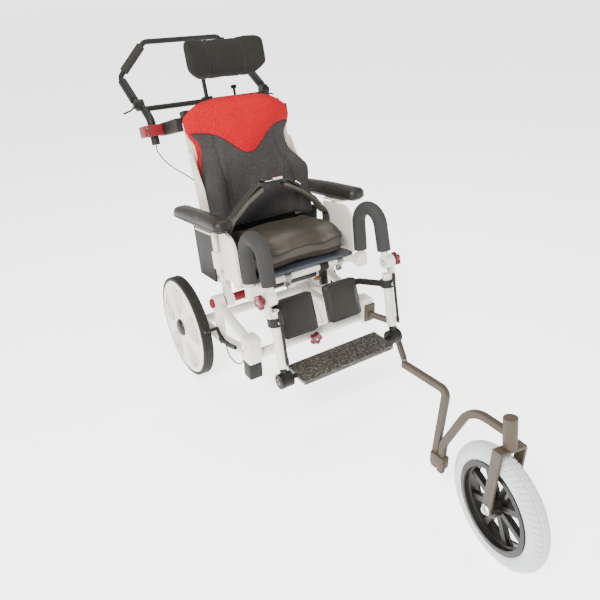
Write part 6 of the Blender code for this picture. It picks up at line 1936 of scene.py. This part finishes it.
def calf_rest(side, frame):
    """Collar and bent arm on the leg tube, with the leaning calf pad on its plate."""
    sign = SIDES[side]
    x = sign * LEG_X
    plate_thick = 0.004
    collar = cylinder((x, 0, -COLLAR_DROP - 0.010), (x, 0, -COLLAR_DROP + 0.010), COLLAR_RADIUS,
                      FINE_FACETS)
    pad_x = sign * CALF_PAD_SPREAD / 2
    pad_outer = pad_x + sign * CALF_PAD_SIZE / 2
    back = CALF_PAD_BACK + CALF_PAD_THICKNESS + GAP
    hinge = Vector((pad_x, back, -CALF_PAD_DROP))
    arm_y = back + plate_thick + 0.006
    arm = bar([(x - sign * 0.012, 0.006, -COLLAR_DROP),
               (pad_outer + sign * 0.014, arm_y - 0.020, -COLLAR_DROP),
               (pad_outer - sign * 0.004, arm_y + 0.004, -COLLAR_DROP - 0.004),
               (pad_x, arm_y, -COLLAR_DROP - 0.016)], 0.016, 0.006, bend=0.010,
              width_along=(0, 0, 1))
    plate = box(hinge + Vector((-0.030, 0, -0.030)), hinge + Vector((0.030, plate_thick, 0.040)),
                bevel=0.001)
    turned_by(plate, -CALF_PAD_LEAN, "X", hinge)
    bracket = union(collar, arm, plate)
    bore = cylinder((x, 0, -COLLAR_DROP - 0.03), (x, 0, -COLLAR_DROP + 0.03), LEG_TUBE_RADIUS + RUN,
                    FINE_FACETS)
    finish(cut(bracket, bore), "calf_bracket_" + side, "black", frame)
    size = (CALF_PAD_SIZE / 2, CALF_PAD_THICKNESS / 2, CALF_PAD_SIZE / 2)
    middle = Vector((pad_x, CALF_PAD_BACK + size[1], -CALF_PAD_DROP))

    def shape(u, v, w):
        place = rounded(u, v, w, size, 0.010)
        crown = 0.006 * (1 - u * u) * (1 - w * w) * max(0.0, -v)
        return middle + Vector((place.x, place.y - crown + 0.006 * max(0.0, -v), place.z))

    leaning = frame_at(hinge, CALF_PAD_LEAN, frame) @ Matrix.Translation(-hinge)

    def upright_loop(reach, corner, level):
        return [middle + Vector((p.x, level, p.y)) for p in ring_route(reach, reach, corner)]

    def trim(piece):
        for number, level in enumerate((-size[1] + 0.0065, size[1] - 0.0065)):
            piping(upright_loop(size[0] + 0.002, 0.012, level), piece, 0.0014,
                   f"calf_piping_{number}_{side}", "calf_pad_" + side, leaning)
        stitch_row(seated(upright_loop(size[0] - 0.008, 0.010, -size[1] - 0.01), piece),
                   "calf_stitches_" + side, "thread", "calf_pad_" + side, leaning)

    soft(soft_block((4, 4, 4), shape), "calf_pad_" + side, "black_cloth", leaning, cap=0.0025,
         shrink=0.0015, voxel=0.0035,
         hold=lambda place: Vector((place.x, min(place.y, back - GAP), place.z)), fill=0.9,
         trim=trim)
    for number, (up, aside) in enumerate(product((-0.018, 0.028), (-0.020, 0.020))):
        bolt(hinge + Vector((aside, plate_thick, up)), (0, 1, 0), 0.0030,
             f"calf_screw_{number}_{side}", "dark_steel", "calf_bracket_" + side, leaning)
    bolt((x, -COLLAR_RADIUS + 0.0002, -COLLAR_DROP), (0, -1, 0), 0.0036, "collar_screw_" + side,
         "steel", "calf_bracket_" + side, frame)


def held_cables(back):
    """Tilt release cable on the back, and the brake's cable loop under the right side."""
    tube_x = -(PUSH_X - 0.006)
    start = Vector((tube_x, PUSH_BACK, PUSH_LOW_END - 2 * GAP))
    end = Vector((-POST_X - POST_RADIUS - 0.0020, 0.002, 0.262))
    cable(back, "tilt_cable", start, [start + Vector((0, 0, -0.020)),
          Vector((tube_x + 0.010, 0.068, 0.315)), end + Vector((-0.010, 0.026, 0.018))], end)
    # the tube slopes, so its surface reaches lower than its radius
    under_tube = TUBE_RADIUS + 4 * GAP
    rear_y, front_y = PIVOT_Y - 0.024, LUG_Y + 0.040
    rear_end = Vector((-FRAME_X, rear_y, foot_tube_height(rear_y) - under_tube))
    front_end = Vector((-FRAME_X, front_y, foot_tube_height(front_y) - under_tube))
    down = Vector((0, 0, -0.008))
    cable(PLACE, "brake_cable", rear_end,
          [rear_end + down, Vector((-FRAME_X - 0.006, -0.212, 0.136)),
           Vector((-FRAME_X - 0.005, -0.262, 0.142)), front_end + down], front_end)


def cable(frame, name, start, middle, end):
    """A thin held cable through a few places, as a smooth curve."""
    places = [start, *middle, end]
    places = [places[0] * 2 - places[1]] + places + [places[-1] * 2 - places[-2]]
    route = []
    for a, b, c, d in zip(places, places[1:], places[2:], places[3:]):
        for k in range(CABLE_STEPS):
            t = k / CABLE_STEPS
            route.append(0.5 * ((2 * b) + (c - a) * t + (2 * a - 5 * b + 4 * c - d) * t * t
                                + (3 * b - 3 * c + d - a) * t ** 3))
    route.append(places[-2])
    piece = finish(rod(route, CABLE_RADIUS, resolution=2), name, "black_plastic", frame, edge=0.0)


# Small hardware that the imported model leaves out


def bolt(centre, axis, radius, name, surface, node, frame=PLACE):
    """Button head screw with a hexagon socket on a thin washer; axis points outward."""
    tall = radius * 0.62
    profile = [(0.0, 0.0), (radius * 1.35, 0.0), (radius * 1.35, radius * 0.16),
               (radius, radius * 0.18), (radius * 0.96, tall * 0.55), (radius * 0.80, tall * 0.86),
               (radius * 0.58, tall), (0.0, tall)]
    head = cut(turned(profile, 32),
               cylinder((tall * 0.45, 0, 0), (tall + 0.002, 0, 0), radius * 0.45, 6))
    turn = Vector((1, 0, 0)).rotation_difference(Vector(axis)).to_matrix().to_4x4()
    head.data.transform(Matrix.Translation(centre) @ turn)
    return detail(head, name, surface, node, frame)


def weld(centre, axis, radius, bead, name, surface, node):
    """A fillet of weld metal round a tube where it meets another piece."""
    around, along, rings = 64, 8, []
    for k in range(around):
        angle = 2 * pi * k / around
        thick = bead * (1 + 0.10 * sin(22 * angle))
        turns = [2 * pi * j / along for j in range(along)]
        section = [(radius + thick * cos(turn), thick * sin(turn)) for turn in turns]
        rings.append([(r * cos(angle), r * sin(angle), z) for r, z in section])
    piece = lofted(rings, closed=True)
    piece.data.transform(standing(centre, axis))
    return detail(piece, name, surface, node)


def base_details():
    """Bolts through the lugs, the welds of the uprights and the caps of the hubs."""
    for side, sign in SIDES.items():
        x = sign * FRAME_X
        node = "frame_side_" + side
        for k, (y, z) in enumerate(((LUG_Y - 0.010, LUG_TOP - 0.022),
                                    (LUG_Y + 0.010, LUG_BOTTOM + 0.030))):
            bolt((x + sign * LUG_WIDTH / 2, y, z), (sign, 0, 0), 0.0045, f"lug_bolt_{k}_{side}",
                 "steel", node)
        weld((x, PIVOT_Y, PIVOT_HEIGHT - PIVOT_TUBE_RADIUS - 0.008), (0, 0, 1),
             TUBE_RADIUS - 0.0006, 0.0016, "upright_weld_" + side, "white", node)
        hub_cap(side)


def stitch_row(points, name, surface, node, frame):
    """A run of separate sewn stitches that lie along a route."""
    bm = bmesh.new()
    travelled, due = 0.0, 0.0
    for a, b in zip(points, points[1:]):
        span = (b - a).length
        while due <= travelled + span:
            place = standing(a.lerp(b, (due - travelled) / span), b - a)
            shape = Matrix.Diagonal((STITCH_RADIUS, STITCH_RADIUS, STITCH_LENGTH / 2, 1))
            bmesh.ops.create_icosphere(bm, subdivisions=1, radius=1.0, matrix=place @ shape)
            due += STITCH_PITCH
        travelled += span
    return detail(object_from_bmesh(bm), name, surface, node, frame)


def camera():
    """The camera that took the photograph."""
    azimuth, elevation, roll = CAMERA_TURN
    back = Vector((sin(azimuth) * cos(elevation), -cos(azimuth) * cos(elevation), sin(elevation)))
    right = Vector((cos(azimuth), sin(azimuth), 0))
    up = back.cross(right)
    right, up = (cos(roll) * right + sin(roll) * up, -sin(roll) * right + cos(roll) * up)
    lens = bpy.data.cameras.new("camera")
    lens.sensor_width = SENSOR_WIDTH
    lens.lens = CAMERA_FOCAL * SENSOR_WIDTH
    eye = bpy.data.objects.new("camera", lens)
    bpy.context.scene.collection.objects.link(eye)
    turn = Matrix((right, up, back)).transposed().to_4x4()
    eye.matrix_world = Matrix.Translation(PLACE @ Vector(CAMERA_PLACE)) @ turn
    bpy.context.scene.camera = eye


def studio():
    """A bright paper floor that runs to the horizon, a sky that fades upward, and three lamps."""
    bm = bmesh.new()
    bm.faces.new([bm.verts.new((x * FLOOR_REACH, y * FLOOR_REACH, -FLOOR_DEPTH))
                  for x, y in ((-1, -1), (1, -1), (1, 1), (-1, 1))])
    floor = object_from_bmesh(bm, "floor")
    s = Shade("floor_paper", (0.95, 0.95, 0.95), 0.9)
    s.tint(s.noise(2.0), (0.94, 0.94, 0.94), (0.96, 0.96, 0.96))
    s.shader.inputs["Emission Color"].default_value = (1, 1, 1, 1)
    s.shader.inputs["Emission Strength"].default_value = FLOOR_GLOW
    floor.data.materials.append(s.made)
    bpy.context.scene.world = sky()
    for name, place, size, power, colour in LAMPS:
        light = bpy.data.lights.new(name, "AREA")
        light.size = size
        light.energy = power
        light.color = colour
        lamp = bpy.data.objects.new(name, light)
        bpy.context.scene.collection.objects.link(lamp)
        lamp.location = place
        aim = Vector(LAMPS_AIM) - Vector(place)
        lamp.rotation_euler = aim.to_track_quat("-Z", "Y").to_euler()


def sky():
    """A world that is brightest at the horizon; the camera sees it lighter than it shines."""
    world = bpy.data.worlds.new("studio")
    world.use_nodes = True
    nodes, links = world.node_tree.nodes, world.node_tree.links
    nodes["Background"].inputs["Color"].default_value = (1, 1, 1, 1)
    way = nodes.new("ShaderNodeSeparateXYZ")
    links.new(nodes.new("ShaderNodeTexCoord").outputs["Generated"], way.inputs[0])
    fade = nodes.new("ShaderNodeMapRange")
    for key, value in (("From Min", HORIZON_END), ("From Max", OVERHEAD_START),
                       ("To Min", HORIZON_STRENGTH), ("To Max", WORLD_STRENGTH)):
        fade.inputs[key].default_value = value
    links.new(way.outputs["Z"], fade.inputs["Value"])
    lifted = nodes.new("ShaderNodeMath")
    lifted.operation = "MULTIPLY_ADD"
    links.new(nodes.new("ShaderNodeLightPath").outputs["Is Camera Ray"], lifted.inputs[0])
    lifted.inputs[1].default_value = SKY_LIFT
    links.new(fade.outputs["Result"], lifted.inputs[2])
    links.new(lifted.outputs[0], nodes["Background"].inputs["Strength"])
    return world


def build():
    for side in SIDES:
        rear_wheel(side)
        frame_side(side)
        brake_lever(side)
    base_tubes()
    knob_y = LUG_Y - TUBE_RADIUS - GAP
    star_knob((0, knob_y, CROSS_TUBE_HEIGHT), (0, -1, 0), "centre_knob")
    front_arm()
    front_wheel(front_fork(*wheel_arm()))
    base_details()
    seat = frame_at((0, PIVOT_Y, PIVOT_HEIGHT), SEAT_TILT)
    seat_frame(seat)
    seat_cushion(seat)
    lap_belt(seat)
    back = frame_at((0, BACK_PIVOT_BACK, BACK_PIVOT_LIFT), BACK_RECLINE, seat)
    back_frame(back)
    back_cushion(back)
    cross = push_assembly(back)
    cross_bar_knob(cross, back)
    headrest(cross, back)
    leg = frame_at((0, -HANGER_FRONT, LEG_PIVOT_LIFT), LEG_ANGLE, seat)
    foot_rest(leg)
    for side in SIDES:
        side_guard(side, seat)
        armrest(side, seat)
        leg_hanger(side, seat)
        leg_tube(side, leg)
        calf_rest(side, leg)
    held_cables(back)
    fill_pending()
    camera()
    studio()


build()
